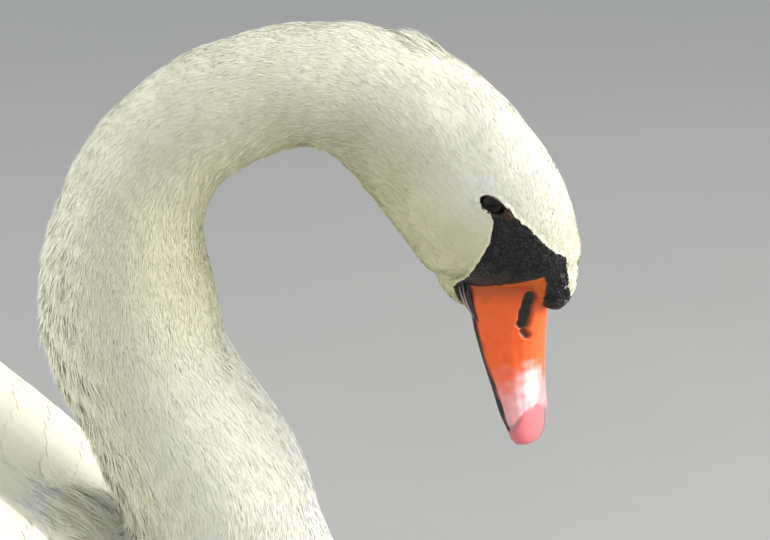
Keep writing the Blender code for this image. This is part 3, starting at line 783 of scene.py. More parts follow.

# %% [markdown]
# ## Where feathers take root
# Real plumage is evenly spaced but never in a grid. Many random places are drawn on the skin in
# proportion to area, and only one is kept from each small cell of space, which thins out crowds.
# Each root then knows the skin's direction, the lie of the coat and the cream-and-shade share there.

# %% Scatter roots


def scatter(region, spacing, seed):
    """Roots about a spacing apart where the region is true: their places and what the skin says."""
    draw = np.random.default_rng(seed)
    weight = tri_area * region[triangles].any(axis=1)
    count = int(weight.sum() / spacing**2 * 3.0)
    ends = np.cumsum(weight)
    picked = np.searchsorted(ends, draw.uniform(0, ends[-1], count))
    a, b = np.sqrt(draw.uniform(size=count)), draw.uniform(size=count)
    share = np.stack([1 - a, a * (1 - b), a * b], axis=1)
    roots = (tri_points[picked] * share[..., None]).sum(axis=1)
    cells = np.floor(roots / (spacing * 1.22)).astype(np.int64)
    cells -= cells.min(axis=0)
    span = cells.max(axis=0) + 1
    key = (cells[:, 0] * span[1] + cells[:, 1]) * span[2] + cells[:, 2]
    kept = np.unique(key, return_index=True)[1]

    def at_roots(field):
        values = field[triangles[picked[kept]]]
        return (values * share[kept].reshape(share[kept].shape + (1,) * (values.ndim - 2))).sum(axis=1)
    kept = kept[(at_roots(black) < 0.1) & (at_roots(region.astype(float)) > 0.5)]
    return roots[kept], at_roots, draw


def unwrap(points):
    """Places on a flat map of the body: along by round, the neck on its left half."""
    where, share, _, around = read_place(points)
    neck = smooth_step(where, 2.6, 4.4) * (share < 1.7) > 0.5
    round_body = np.arctan2(points[:, 2] - 130, points[:, 1])
    along = np.where(neck, 0.01 + 0.47 * where / NECK_LAST, 0.52 + 0.47 * (points[:, 0] + 600) / 860)
    around = np.where(neck, around, round_body)
    return np.clip(np.stack([along, 0.01 + 0.98 * (around / (2 * math.pi) + 0.5)], axis=1), 0.005, 0.99)


PATCH = 0.003


def settle(roots, lies, lengths):
    """How far the skin falls away or rises under each feather's tip, and the skin's direction there."""
    tips = roots + lies * lengths[:, None]
    moved = np.zeros_like(tips)
    facing = np.zeros_like(tips)
    for i, tip in enumerate(tips.tolist()):
        spot, normal, _, _ = skin_tree.find_nearest(tip)
        moved[i] = spot
        facing[i] = normal
    return moved - tips, facing


print("map of the eye's place:", unwrap(on_head(np.array([[2.0, 20, -3]]))).round(3))

# %% [markdown]
# ## Plumage material
# A feather's colour comes from its root's cream-and-shade share. It is painted a little deeper at
# the root, as painted shade where its neighbours cover it, and every feather differs slightly from
# the next, which gives the velvety mottling of a swan's neck. Sheen on the fibres keeps edges soft.

# %% Paint the plumage


def plumage(name, roughness, root_shade):
    """A feather material, before any barbs are drawn on it."""
    material, tree, shader = new_material(name, roughness, Sheen_Weight=0.15, Sheen_Roughness=0.5)
    colour = mixed(tree, stored(tree, "cream"), WHITE, CREAM_AND_SHADE)
    # Painted shade at the root, where neighbours lie over it, plus each feather's own small tone.
    root_shade_and_tone = sum_of(tree, "MULTIPLY", sum_of(tree, "SUBTRACT", 1.0, stored(tree, "tip")), root_shade)
    root_shade_and_tone = sum_of(tree, "ADD", root_shade_and_tone, sum_of(tree, "MULTIPLY", stored(tree, "own"), 0.08))
    colour = mixed(tree, root_shade_and_tone, colour, paint(0.60, 0.60, 0.47))
    fleck = ranged(tree, noise_of(tree, 900.0, 2.0), 0.4, 0.75, 0.0, 0.10)
    colour = mixed(tree, fleck, colour, paint(0.70, 0.70, 0.62))
    paint_all(tree, shader, colour)
    return material, tree, shader


tuft_material = plumage("soft_plumage", 0.75, 0.13)[0]
print("plumage ready")

# %% [markdown]
# ## Tufts
# A neck feather is too small and soft to show its outline; what shows is a lock of barbs. Each
# tuft here is a fan of thin tapering prongs from one root. Its height above the skin grows from
# root to tip, so that tips lie over the next tufts' roots as tiles do, and its tip is set down on
# the skin wherever that curves. All tufts of a region are one mesh, computed as arrays. Their
# shading normals are borrowed from the skin below, so that light rolls over them as over velvet.

# %% Grow tufts
FINE = (np.array([0.0, 0.5, 1.0]), np.array([0.6, 1.0, 0.0]))
LONG = (np.array([0.0, 0.4, 0.75, 1.0]), np.array([0.55, 1.0, 0.75, 0.0]))


def grow(name, region, spacing, length, width, stand, prongs, seed, shape=FINE, fan=0.2, clump=0.25):
    """One piece of coat, its measures in millimetres. Length and stand may differ over the skin."""
    steps, widths = shape
    roots, at_roots, draw = scatter(region, spacing, seed)
    count = len(roots)
    full = np.ones(len(skin_points))
    lengths = at_roots(full * length) * draw.uniform(0.8, 1.2, count)
    stands = at_roots(full * stand)
    uneven = 0.25 * ripple(roots, 9, seed)
    stands = stands * (1 + uneven + draw.uniform(-0.2, 0.2, count) * np.maximum(stands, 1))
    facing = unit(at_roots(skin_normals))
    lies = at_roots(lie)
    swirl = clump * (0.6 * ripple(roots, 16, seed + 1) + 0.6 * ripple(roots, 7, seed + 2))
    swirl = swirl + draw.normal(0, 0.10, count)
    across = unit(np.cross(facing, lies))
    lies = unit(lies * np.cos(swirl)[:, None] + across * np.sin(swirl)[:, None])
    across = unit(np.cross(facing, lies))
    drop, end_facing = settle(roots, lies, lengths)

    fans = np.linspace(-1, 1, prongs)
    angle = fans[None] * fan + draw.normal(0, 0.05, (count, prongs))
    reach = lengths[:, None] * (1 - 0.22 * fans[None]**2) * draw.uniform(0.85, 1.1, (count, prongs))
    rise = stands[:, None] * draw.uniform(0.85, 1.15, (count, prongs))
    start = roots[:, None] + across[:, None] * (fans[None, :, None] * width * 0.55)
    ahead = lies[:, None] * np.cos(angle)[..., None] + across[:, None] * np.sin(angle)[..., None]
    t = steps[None, None, :, None]
    spine = start[:, :, None] + ahead[:, :, None] * (reach[..., None, None] * t)
    spine = spine + drop[:, None, None] * t**2
    up = unit(facing[:, None, None] * (1 - t) + end_facing[:, None, None] * t)
    spine = spine + up * (rise[..., None, None] * t**0.8 - 0.15 * (1 - t))
    half = (0.5 * width * widths)[None, None, :, None] * across[:, None, None]
    tilt = up * (draw.normal(0, 0.08, (count, prongs)) * width)[..., None, None] * widths[None, None, :, None]
    left, right = spine + half + tilt, spine - half - tilt
    pairs = len(steps) - 1
    block = np.concatenate([np.stack([left[:, :, :pairs], right[:, :, :pairs]], axis=3)
                            .reshape(count, prongs, pairs * 2, 3), spine[:, :, pairs:]], axis=2)
    each = pairs * 2 + 1
    points = block.reshape(-1, 3)
    points[:, 2] = np.maximum(points[:, 2], TUFT_CLEAR)
    base = np.arange(count * prongs)[:, None] * each
    corners = np.array([0, 1, 3, 2])
    quads = np.concatenate([base + 2 * r + corners for r in range(pairs - 1)])
    tips = base + np.array([2 * pairs - 2, 2 * pairs - 1, 2 * pairs])
    obj = new_object(name, points, [quads, tips], tuft_material)
    soft = unit(np.broadcast_to(up, spine.shape) + draw.normal(0, 0.05, (count, prongs, 1, 3)))
    soft = np.concatenate([np.repeat(soft[:, :, :pairs], 2, axis=2), soft[:, :, pairs:]], axis=2)
    obj.data.normals_split_custom_set_from_vertices(soft.reshape(-1, 3))

    tip_share = np.concatenate([np.repeat(steps[:pairs], 2), [1.0]])
    side = np.concatenate([np.tile([0.0, 1.0], pairs), [0.5]])
    per = prongs * each
    own = np.clip(0.5 + 0.35 * ripple(roots, 12, seed + 3) + draw.normal(0, 0.22, count), 0, 1)
    store(obj, cream=np.repeat(np.clip(at_roots(cream) + draw.normal(0, 0.03, count), 0, 1), per),
          own=np.repeat(own, per), tip=np.tile(tip_share, count * prongs))
    patch = np.stack([np.tile(side, count * prongs), np.tile(tip_share, count * prongs)], axis=1) * PATCH
    store_map(obj, "OFBake", np.repeat(unwrap(roots), per, axis=0) + patch)
    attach(obj, "root")
    print(name, count, "tufts", len(quads) * 2 + len(tips), "triangles")


NAPE_CREST = (218, -2, 455)
crest = smooth_step(-np.linalg.norm(outer - NAPE_CREST, axis=1), -16, -4)
ruff = smooth_step(np.sin(angle), 0.2, 0.9) * smooth_step(place, 1.5, 3.0)
ruff = ruff * (1 - smooth_step(place, 8.5, 10.5)) * smooth_step(ripple(outer, 14, 8), -0.5, 0.5)
face_near = smooth_step(head_now[:, 0], -25, 25)
neck_length = 9.5 + 3.5 * (1 - smooth_step(place, 4, 9)) + 2.0 * ruff
neck_stand = 0.9 + 2.2 * ruff
face_length = 6.0 - 3.2 * face_near
is_head = (place > 15.8) & (on_neck > 0.5)
is_neck = (on_neck > 0.35) & ~is_head
grow("coat_head", is_head & (place >= 17.4), 0.96,
     face_length, 0.62, 0.65 - 0.25 * face_near, 3, 101)
grow("coat_nape", (place > 13) & (place < 17.5) & (on_neck > 0.5), 1.22,
     6.5 + 3.0 * smooth_step(-place, -17.5, -14) + 6.0 * crest, 0.62, 0.85 + 2.2 * crest, 4, 102)
grow("coat_neck_upper", (place > 8) & (place < 13.1) & is_neck, 1.28,
     neck_length, 0.66, neck_stand, 4, 103)
grow("coat_neck_lower", (place <= 8.1) & is_neck, 1.5,
     neck_length, 0.72, neck_stand, 4, 104)

# %% [markdown]
# ## Body plumage
# On the breast, belly and flanks the feathers are longer and looser, each a broad tuft of soft
# barbs. They stop where the folded wing begins, since that is laid feather by feather below. To
# know where that is, each point of the skin is asked whether the wing or the trunk is nearer.

# %% Grow the body's plumage
is_wing = (to_wing < distances("trunk")) & (on_neck < 0.3)
is_shoulder = (on_neck <= 0.4) & (outer[:, 2] > 185) & (outer[:, 0] > -20) & ~is_wing
is_body = ~is_wing & (on_neck <= 0.4) & (outer[:, 0] > -440) & ~is_shoulder
front = outer[:, 0] > 0
body_length = 18 + 8 * smooth_step(-outer[:, 0], -120, 200)
grow("coat_shoulders", is_shoulder, 1.9, 10, 1.3, 0.7, 4, 107, clump=0.12)
grow("coat_breast", is_body & front, 3.6, body_length, 1.7, 2.0, 4, 105, LONG, 0.30)
grow("coat_flanks", is_body & ~front, 5.0, body_length, 2.3, 2.4, 4, 106, LONG, 0.30)

# %% [markdown]
# ## Vanes that lie on the wing
# A wing feather is a flat vane with a shaft. To make it lie on the folded wing, each point of its
# grid is dropped on the skin along a ray towards the body's middle, then lifted: least at the root
# and most at the tip, and a little more along its lower edge, so that each overlaps the next like
# a tile. Rows of small coverts at the shoulder grow into long quills towards the tail.

# %% The wing's surface
# By X: the lower and the upper edge of the wing's cover, in degrees round the body.
wing_cover = smooth_through([
    (-525, (40, 62)), (-500, (20, 72)), (-450, (0, 84)), (-400, (-17, 85)), (-20, (-17, 85)),
    (10, (-17, 80)), (35, (-14, 73)), (60, (-6, 65)), (80, (6, 56)), (92, (18, 44)),
])
widest_level = smooth_through([
    (-590, 166), (-500, 178), (-400, 185), (-290, 158), (-120, 136), (20, 124), (120, 108),
])
WING_END = -450.0
WING_TIP = Vector((-545.0, 57.0, 184.0))
RAY_START = 420.0
RAY_MISS = 60.0


def dropped(x, degrees):
    """Where the skin is at X in a direction round the body's middle, and which way it faces."""
    level = float(widest_level(x)[0])
    outward = Vector((0.0, math.cos(math.radians(degrees)), math.sin(math.radians(degrees))))
    start = Vector((x, 0.0, level)) + outward * RAY_START
    spot, facing, _, _ = skin_tree.ray_cast(start, -outward)
    return (spot, facing) if spot is not None else (start - outward * (RAY_START - RAY_MISS), outward)


def on_wing_at(x, degrees):
    """The wing's surface, drawn together to the wing's tip behind its end."""
    if x > WING_END:
        return dropped(x, degrees)
    near, facing = dropped(WING_END, degrees)
    share = min(1.0, (WING_END - x) / (WING_END - WING_TIP.x))
    spot = near.lerp(WING_TIP, share)
    spot.x = x
    return spot, facing.lerp(Vector((0.0, 0.3, 0.95)), share).normalized()


def vane_outline(width, rows, columns, root_share, opening, point, curve):
    """Along and across each point of a vane's grid, the half width, and along with a curved tip."""
    for i in range(rows):
        t = 1 - (1 - i / (rows - 1)) ** 1.6
        half = width / 2 * min(1.0, root_share + opening * t) * math.sqrt(1 - t**point)
        for j in range(columns):
            u = 2 * j / (columns - 1) - 1
            yield t, u, half, t - curve * t**3 * u * u * (1 - t**6)


def vane(root_x, degrees, length, width, tip_lift, tile, rows, columns, rise=0.0, point=2.6, lift=0.4):
    """One feather's grid of points, laid on the wing from its root backwards."""
    grid = []
    middle_x = root_x - length / 2
    radius = max((on_wing_at(middle_x, degrees)[0] - Vector((middle_x, 0, 140))).length, 60)
    for t, u, half, curved in vane_outline(width, rows, columns, 0.45, 2.2, point, 0.05):
        turn = degrees + rise * t + math.degrees(u * half / radius)
        spot, facing = on_wing_at(root_x - length * curved, turn)
        height = lift + tip_lift * t**1.2 - (tile * u + 0.3 * u * u) * (2 * half / width)
        grid.append(spot + facing * height)
    return grid


print("wing surface at mid length:", [round(v) for v in dropped(-200, 30)[0]])

# %% [markdown]
# Vanes need a finer look than tufts: a pale shaft, and barbs that run out from it at a slant. The
# barbs are lines of bump on a second map, measured across and along each feather.

# %% Paint the vanes
# Vanes take a stronger painted shade at their roots, where the feathers before them lie over them.
vane_material, tree, shader = plumage("wing_vanes", 0.6, 0.55)
vane_map = node(tree, "UVMap", {"uv_map": "Vane"}).outputs["UV"]
split = node(tree, "SeparateXYZ", Vector=vane_map)
off_shaft = sum_of(tree, "ABSOLUTE", split.outputs["X"], 0.0)
slant = sum_of(tree, "SUBTRACT", split.outputs["Y"], sum_of(tree, "MULTIPLY", off_shaft, 1.3))
barbs = sum_of(tree, "SINE", sum_of(tree, "MULTIPLY", slant, 5.2), 0.0)
uneven = noise_of(tree, 160.0, 3.0)
shaft = ranged(tree, off_shaft, 0.35, 0.8, 1.0, 0.0)
relief = sum_of(tree, "ADD", sum_of(tree, "MULTIPLY", barbs, sum_of(tree, "MULTIPLY", uneven, 0.22)),
                sum_of(tree, "MULTIPLY", shaft, 0.8))
bump_from(tree, shader, relief, 0.25, 0.6)
print("vane nodes:", len(tree.nodes))

# %% Assemble vanes into pieces


def vane_piece(name, grids, rows, columns, whiteness, seed, mirror=False, flatten=0.7):
    """Many vanes of one grid size as one piece, shaded partly like the skin below them."""
    draw = np.random.default_rng(seed)
    count, each = len(grids), rows * columns
    points = np.array([[tuple(p) for p in grid] for grid in grids], float).reshape(-1, 3)
    faces = (grid_faces(rows, columns)[None] + (np.arange(count) * each)[:, None, None]).reshape(-1, 4)
    if mirror:
        points = points * (1, -1, 1)
        faces = faces[:, ::-1]
    points[:, 2] = np.maximum(points[:, 2], VANE_CLEAR)
    obj = new_object(name, points, [faces], vane_material)
    own_facing = read_normals(obj.data)
    nearest = [polygons[skin_tree.find_nearest(point)[2]][:3] for point in points.tolist()]
    below = unit(skin_normals[np.array(nearest)].mean(axis=1))
    below *= np.sign(np.median((below * own_facing).sum(axis=1)))
    obj.data.normals_split_custom_set_from_vertices(unit(own_facing * (1 - flatten) + below * flatten))
    t, u = np.meshgrid(np.linspace(0, 1, rows), np.linspace(-1, 1, columns), indexing="ij")
    # Painted shade: feathers near the shoulder get a tan cream, standing for the shaded hollow before the
    # wings.
    shoulder_shade = 0.35 * smooth_step(points.reshape(count, each, 3)[:, 0, 0], -110, 40)
    store(obj, cream=np.repeat(np.clip(whiteness + shoulder_shade + draw.normal(0, 0.03, count), 0, 1), each),
          own=np.repeat(np.clip(draw.normal(0.3, 0.2, count), 0, 1), each),
          # The tip share sets the painted root shade: darkest at the root and along the edge that the next
          # vane lies over.
          tip=np.tile(((0.15 + 0.85 * t) * (0.9 + 0.1 * u)).ravel(), count))
    laid = points.reshape(count, rows, columns, 3)
    shafts = laid[:, :, columns // 2]
    across = (np.linalg.norm(laid - shafts[:, :, None], axis=3) * np.sign(u)).ravel()
    down_vane = np.linalg.norm(np.diff(shafts, axis=1, prepend=shafts[:, :1]), axis=2).cumsum(axis=1)
    down_vane = np.repeat(down_vane.ravel(), columns)
    roots = shafts[:, 0]
    patch = np.tile(np.stack([(u.ravel() + 1) / 2, t.ravel()], axis=1), (count, 1)) * PATCH
    store_map(obj, "OFBake", np.repeat(unwrap(roots), each, axis=0) + patch)
    store_map(obj, "Vane", np.stack([across, down_vane], axis=1))
    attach(obj, "root")
    print(name, count, "vanes", len(faces) * 2, "triangles")


# %% [markdown]
# ## The folded wings
# From the shoulder back come lesser coverts like small scales, median and greater coverts, then
# the long secondaries and tertials, and last the primaries, whose tips lie over the root of the
# tail. Only one wing is worked out; the other is its mirror image.

# %% Lay the wing feathers
draw = np.random.default_rng(7)
# X of the roots, length and width of each row's coverts.
SMALL_ROWS = (
    (90, 22, 14), (80, 24, 15), (69, 26, 16), (57, 28, 17), (44, 30, 18), (30, 32, 19), (16, 34, 20),
    (1, 37, 21), (-15, 40, 22), (-32, 44, 24), (-50, 48, 25), (-70, 54, 27), (-92, 62, 29),
    (-118, 72, 30), (-148, 84, 32), (-182, 96, 33),
)
WING_ROUND = 175
covert_grids = []
for row, (x, length, width) in enumerate(SMALL_ROWS):
    low, high = wing_cover(x)
    arc = math.radians(high - low) * WING_ROUND
    count = max(4, round(arc / (width * 0.60)))
    for k in range(count):
        turn = low + (high - low) * (k + 0.25 + 0.5 * (row % 2)) / count + draw.normal(0, 0.5)
        size = draw.uniform(0.92, 1.08)
        covert_grids.append(vane(x + draw.normal(0, 1.5), turn, length * size, width * size,
                                 0.65, 0.15, 8, 7, draw.normal(0, 1.0)))
for mirror, side in ((False, "left"), (True, "right")):
    vane_piece("wing_coverts_" + side, covert_grids, 8, 7, 0.03, 31, mirror)

QUILL_ROWS, QUILL_COLUMNS = 16, 7
# Root X, tip X at the low and the high end, share of the wing's breadth, width, and how many.
QUILLS = ((-330, -528, -470, 0.10, 0.80, 26, 12), (-265, -430, -455, 0.02, 0.98, 34, 15),
          (-205, -345, -385, 0.00, 1.00, 36, 15))
quill_grids = []
for tier, (root_x, tip_low, tip_high, first, last, width, count) in enumerate(QUILLS):
    for k in range(count):
        share = k / (count - 1)
        tip_x = tip_low + (tip_high - tip_low) * share + draw.normal(0, 3)
        low, high = wing_cover(root_x)
        end_low, end_high = wing_cover(max(tip_x, WING_END))
        place_share = first + (last - first) * share
        turn = low + (high - low) * place_share
        end_turn = end_low + (end_high - end_low) * (0.06 + 0.88 * place_share)
        quill_grids.append(vane(root_x, turn, root_x - tip_x, width, 0.8 + 0.2 * tier, 0.25, QUILL_ROWS,
                                QUILL_COLUMNS, end_turn - turn, 3.4))
for mirror, side in ((False, "left"), (True, "right")):
    vane_piece("wing_quills_" + side, quill_grids, QUILL_ROWS, QUILL_COLUMNS,
               0.02, 32, mirror)

# %% [markdown]
# Between the wings the back carries its own broad feathers, laid in the same way.

# %% Lay the back's feathers
back_grids = []
for row, x in enumerate(np.arange(12.0, -372.0, -17.0)):
    for k in range(3):
        turn = 90 + (k - 1 + 0.5 * (row % 2) - 0.25) * 4.6 + draw.normal(0, 0.4)
        length = 46 * draw.uniform(0.9, 1.1)
        back_grids.append(vane(x, turn, length, 24, 0.7, 0.15, 7, 7, draw.normal(0, 0.5), lift=0.6))
vane_piece("back_feathers", back_grids, 7, 7, 0.12, 33)

# %% [markdown]
# ## The tail
# A swan's tail is a wedge of long quills with shorter coverts above and below its root. Nothing
# solid lies under the quills, so they are placed by rule: each starts near the middle line and
# ends on the wedge's outline, the middle ones on top and the longest.

# %% Fan out the tail
# By X: the wedge's half width, half depth and level.
tail_outline = smooth_through([(-400, (70, 32, 186)), (-447, (73, 22, 182)), (-495, (68, 12, 178)),
                               (-542, (50, 6, 172)), (-575, (26, 3, 168)), (-592, (9, 2, 166))])


def tail_vane(start, end, width, layer, rows, columns, droop=0.0):
    """A vane in plan from one X, Y to another; layer 1 is the wedge's top and -1 its underside."""
    start, end = np.array(start, float), np.array(end, float)
    ahead = unit(end - start)
    across = np.array((-ahead[1], ahead[0]))
    grid = []
    for t, u, half, curved in vane_outline(width, rows, columns, 0.6, 2.0, 3.2, 0.04):
        at = start + (end - start) * curved + across * u * half
        half_width, half_depth, level = tail_outline(at[0])
        crown = math.sqrt(max(0.0, 1 - min(1.0, abs(at[1]) / (half_width + 12)) ** 2))
        height = level + half_depth * crown * layer - 0.04 * half * u * u - droop * t + 0.6 * t
        grid.append((at[0], at[1], height))
    return grid


TAIL_QUILLS_EACH_SIDE = 11
tail_grids = []
for k in range(TAIL_QUILLS_EACH_SIDE, -1, -1):
    for side in ((1, -1) if k else (1,)):
        share = k / TAIL_QUILLS_EACH_SIDE
        end = (-588 + 108 * share**2.2, 66 * share * side)
        start = (-396, 34 * share * side)
        layer = 0.55 - 0.65 * share
        tail_grids.append(tail_vane(start, end, 24, layer, QUILL_ROWS, QUILL_COLUMNS, 2.0 * share))
vane_piece("tail_quills", tail_grids, QUILL_ROWS, QUILL_COLUMNS, 0.05, 34, flatten=0.0)

# Root X, length and number of the coverts in each row, above and below.
cover_grids = []
for layer, rows in ((1.0, ((-462, 80, 9), (-432, 78, 9), (-402, 74, 9), (-372, 70, 9))),
                    (-1.0, ((-470, 84, 9), (-440, 80, 9), (-408, 76, 9), (-376, 70, 9)))):
    for row, (x, length, count) in enumerate(rows):
        for k in range(count):
            share = (2 * (k + 0.25 + 0.5 * (row % 2)) / count - 1)
            half_width = tail_outline(max(x, -400))[0]
            y = share * half_width * 0.9
            reach = length * draw.uniform(0.85, 1.1)
            cover_grids.append(tail_vane((x, y), (x - reach, y * 0.9), 22, layer * (1.0 + 0.05 * row), 7, 5))
vane_piece("tail_coverts", cover_grids, 7, 5, 0.08, 35, flatten=0.0)

# %% [markdown]
# ## The bill
# The bill is the bird's one strong colour. Its upper half is lofted again from the solid's own
# sections, but far finer, so that real details can be pressed into it: the slot of the nostril,
# the groove round the horny nail at the tip and the hard dark cutting edge. Stored numbers then
# tell the material where each of them is.

# %% Shape the upper bill
BILL_BASE = 47.15
BILL_LENGTH = 87.0
# Along the bill: top of its ridge, edge of the mouth, half width, bluntness of the arch.
upper_bill = smooth_through([
    (-0.05, (13.4, -27.4, 17.1, 2.0)), (0.0, (12.0, -27.2, 17.0, 2.0)), (0.2, (5.5, -26.9, 17.0, 2.1)),
    (0.45, (-0.3, -25.0, 17.2, 2.2)), (0.6, (-3.0, -22.4, 17.3, 2.25)), (0.7, (-4.5, -20.6, 17.3, 2.3)),
    (0.86, (-6.6, -18.4, 16.6, 2.4)),
    (0.93, (-8.0, -18.1, 14.0, 2.4)), (0.97, (-9.6, -18.0, 10.0, 2.3)), (0.99, (-11.6, -18.2, 5.6, 2.1)),
    (1.0, (-13.8, -18.2, 1.5, 2.0)),
])
MOUTH_DROP = 1.6
BILL_AROUND = 144


def arch(angle, half_width, top, below, power_up, power_down):
    """An egg-like section: across and rise for each angle."""
    c, s = np.cos(angle), np.sin(angle)
    power = np.where(s >= 0, power_up, power_down)
    across = np.sign(c) * np.abs(c) ** (2 / power) * half_width
    return across, np.sign(s) * np.abs(s) ** (2 / power) * np.where(s >= 0, top, below)


def capped_faces(rows, around):
    """Faces of a closed tube whose tip and root points follow its grid."""
    first = np.arange(around)
    last = first + (rows - 1) * around
    tip = np.full(around, rows * around)
    tip_fan = np.stack([last, tip, np.roll(last, -1)], axis=1)
    root_fan = np.stack([np.roll(first, -1), tip + 1, first], axis=1)
    return [grid_faces(rows, around, closed=True)[:, ::-1], tip_fan, root_fan]


stations = np.concatenate([
    np.linspace(-0.045, 0.86, 120), np.linspace(0.867, 0.97, 24), np.linspace(0.973, 1.0, 12),
])
turns = np.linspace(0, 2 * math.pi, BILL_AROUND, endpoint=False)
top, edge, half_width, blunt = (column[:, None] for column in upper_bill(stations).T)
level = edge + MOUTH_DROP
across, rise = arch(turns[None], half_width, top - level, MOUTH_DROP, blunt, 3.0)
along = np.broadcast_to(BILL_BASE + stations[:, None] * BILL_LENGTH, across.shape)
up = level + rise
on_side = smooth_step(np.abs(across), 2, 6) > 0.3
on_bill = np.stack([along, up, across], -1)
drawing = np.stack([along, up], axis=-1)
# The nostril is a slot pointing down the bill, with a small pit beyond its end.
slot_away = near_path(drawing, np.array([(54.0, 3.6), (61.0, 0.4), (68.0, -2.2)]))
slot_away = slot_away + 0.15 * ripple(on_bill, 5, 40)
pit_away = near_path(drawing, np.array([(71.5, -2.6), (74.5, -1.6)]))
slot, pit = smooth_step(-slot_away, -3.1, -2.1), smooth_step(-pit_away, -2.0, -1.0)
nostril = np.maximum(slot, 0.9 * pit) * on_side
lip = smooth_step(-slot_away, -5.0, -3.4) * on_side - nostril
# The nail is an oval shield on the tip, standing a little proud inside a groove.
flat_points = np.stack([along, across, up], -1)
nail_away = np.hypot((along - 122.6) / 11.2, (across + 6.4) / 10.4)
nail_away = nail_away + 0.02 * ripple(flat_points, 5, 41)
nail = smooth_step(-nail_away, -1.02, -0.94) * (rise > 0)
groove = np.exp(-((nail_away - 1.0) / 0.07) ** 2) * (rise > 0)
edge_dark = smooth_step(-(rise + 0.3 * ripple(on_bill, 12, 42)), -1.6, -0.8)
ridges = 0.10 * np.sin(across * 2.1 + ripple(np.stack([along * 0.3, across, up], -1), 8, 43))
ridges = ridges * smooth_step(stations[:, None], 0.1, 0.3)
push = -1.9 * nostril + 0.35 * lip + 0.45 * nail - 0.45 * groove + ridges * (1 - nail)
sunk = np.stack([np.zeros_like(across), across * 0.9, rise], axis=-1)
bill_flat = flat_points + unit(sunk) * push[..., None]
end_points = [[BILL_BASE + BILL_LENGTH + 0.15, 0, -15.6], [BILL_BASE - 0.05 * BILL_LENGTH, 0, -8]]
bill_points = np.concatenate([on_head(bill_flat.reshape(-1, 3)), on_head(np.array(end_points))])
bill_faces = capped_faces(len(stations), BILL_AROUND)
print("upper bill:", len(bill_points), "points")

# %% [markdown]
# Real horn isn't one orange. It is browner against the feathers, clear orange along the sides,
# pinker towards the tip, with a pale, whitish patch just above the nail. Fine streaks and scuffs run
# lengthwise, and the nail is a smooth shell pink. Its grey rim is partly its own grey margin and
# partly painted shade in the groove round it and in a band beside it on the far side.

# %% Paint the bill
horn, tree, shader = new_material("bill_horn", 0.4, Coat_Weight=0.15, Coat_Roughness=0.25)
streak_place = node(tree, "Mapping", Vector=on_object(tree), Scale=(1.0, 1.0, 0.18)).outputs["Vector"]
streaks = noise_of(tree, 900.0, 4.0, streak_place)
blotches = noise_of(tree, 170.0, 4.0)
orange = mixed(tree, streaks, paint(0.95, 0.110, 0.014), paint(0.97, 0.165, 0.030))
orange = mixed(tree, ranged(tree, blotches, 0.45, 0.75, 0.0, 0.5), orange, paint(0.90, 0.090, 0.012))
orange = mixed(tree, stored(tree, "base"), orange, paint(0.50, 0.090, 0.010))
rosy = mixed(tree, blotches, paint(0.80, 0.30, 0.31), paint(0.82, 0.44, 0.48))
colour = mixed(tree, stored(tree, "rosy"), orange, rosy)
colour = mixed(tree, stored(tree, "rubbed"), colour, paint(0.90, 0.76, 0.78))
shell = mixed(tree, streaks, paint(0.74, 0.155, 0.175), paint(0.76, 0.205, 0.225))
colour = mixed(tree, stored(tree, "nail"), colour, shell)
# Grey of the nail's rim: its own grey margin, and painted shade in the groove and beside the nail.
colour = mixed(tree, stored(tree, "rim"), colour, paint(0.20, 0.15, 0.16))
colour = mixed(tree, stored(tree, "dark"), colour, paint(0.010, 0.008, 0.008))
paint_all(tree, shader, colour)
feed(tree, shader.inputs["Roughness"], ranged(tree, blotches, 0.3, 0.7, 0.34, 0.5))
bump_from(tree, shader, sum_of(tree, "ADD", streaks, blotches), 0.18, 0.5)

bill = new_object("bill_upper_horn", bill_points, bill_faces, horn)
# A pale, whitish patch just above the nail.
pale_patch_line = np.hypot((along - 102) / 13.5, (across + 7.5) / 8.0)
pale_patch_line = pale_patch_line + 0.22 * ripple(flat_points, 8, 44) + 0.06 * ripple(flat_points, 2.4, 45)
rubbed = smooth_step(-pale_patch_line, -1.25, -0.15) * (rise > 0.5)
rosy_share = smooth_step(along + 5 * ripple(flat_points, 9, 46), 88, 112)
base_share = 0.85 * smooth_step(-(along + 1.5 * ripple(flat_points, 6, 47)), -58, -48)
# Painted shade: a grey band beside the nail on the far side, and grey in the groove round it.
far_groove_shade = smooth_step(nail_away, 1.0, 1.06) * smooth_step(-nail_away, -1.7, -1.4)
far_groove_shade = far_groove_shade * (across > -2) * (rise > 0)
nail_rim_and_shade = np.maximum(groove * 0.6, far_groove_shade * 0.9) * smooth_step(along, 112, 120)
dark_share = np.maximum(nostril, edge_dark * (1 - nail))


def with_ends(values):
    """Values of the bill's grid, with the two end points added."""
    return np.concatenate([values.ravel(), [values[-1].mean(), values[0].mean()]])


store(bill, rosy=with_ends(rosy_share), rubbed=with_ends(rubbed), base=with_ends(base_share),
      nail=with_ends(nail), rim=with_ends(nail_rim_and_shade), dark=with_ends(dark_share))
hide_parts("bill_upper")
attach(bill, "root")
print("bill length", BILL_LENGTH)

# %% [markdown]
# The lower bill is a shallow black trough that shuts inside the upper one's edges. From the side
# only its rim shows, with a fine pale ridge along it, and near the corner of the mouth the bare
# skin gathers into two or three thin folds, with painted highlights on their crests.

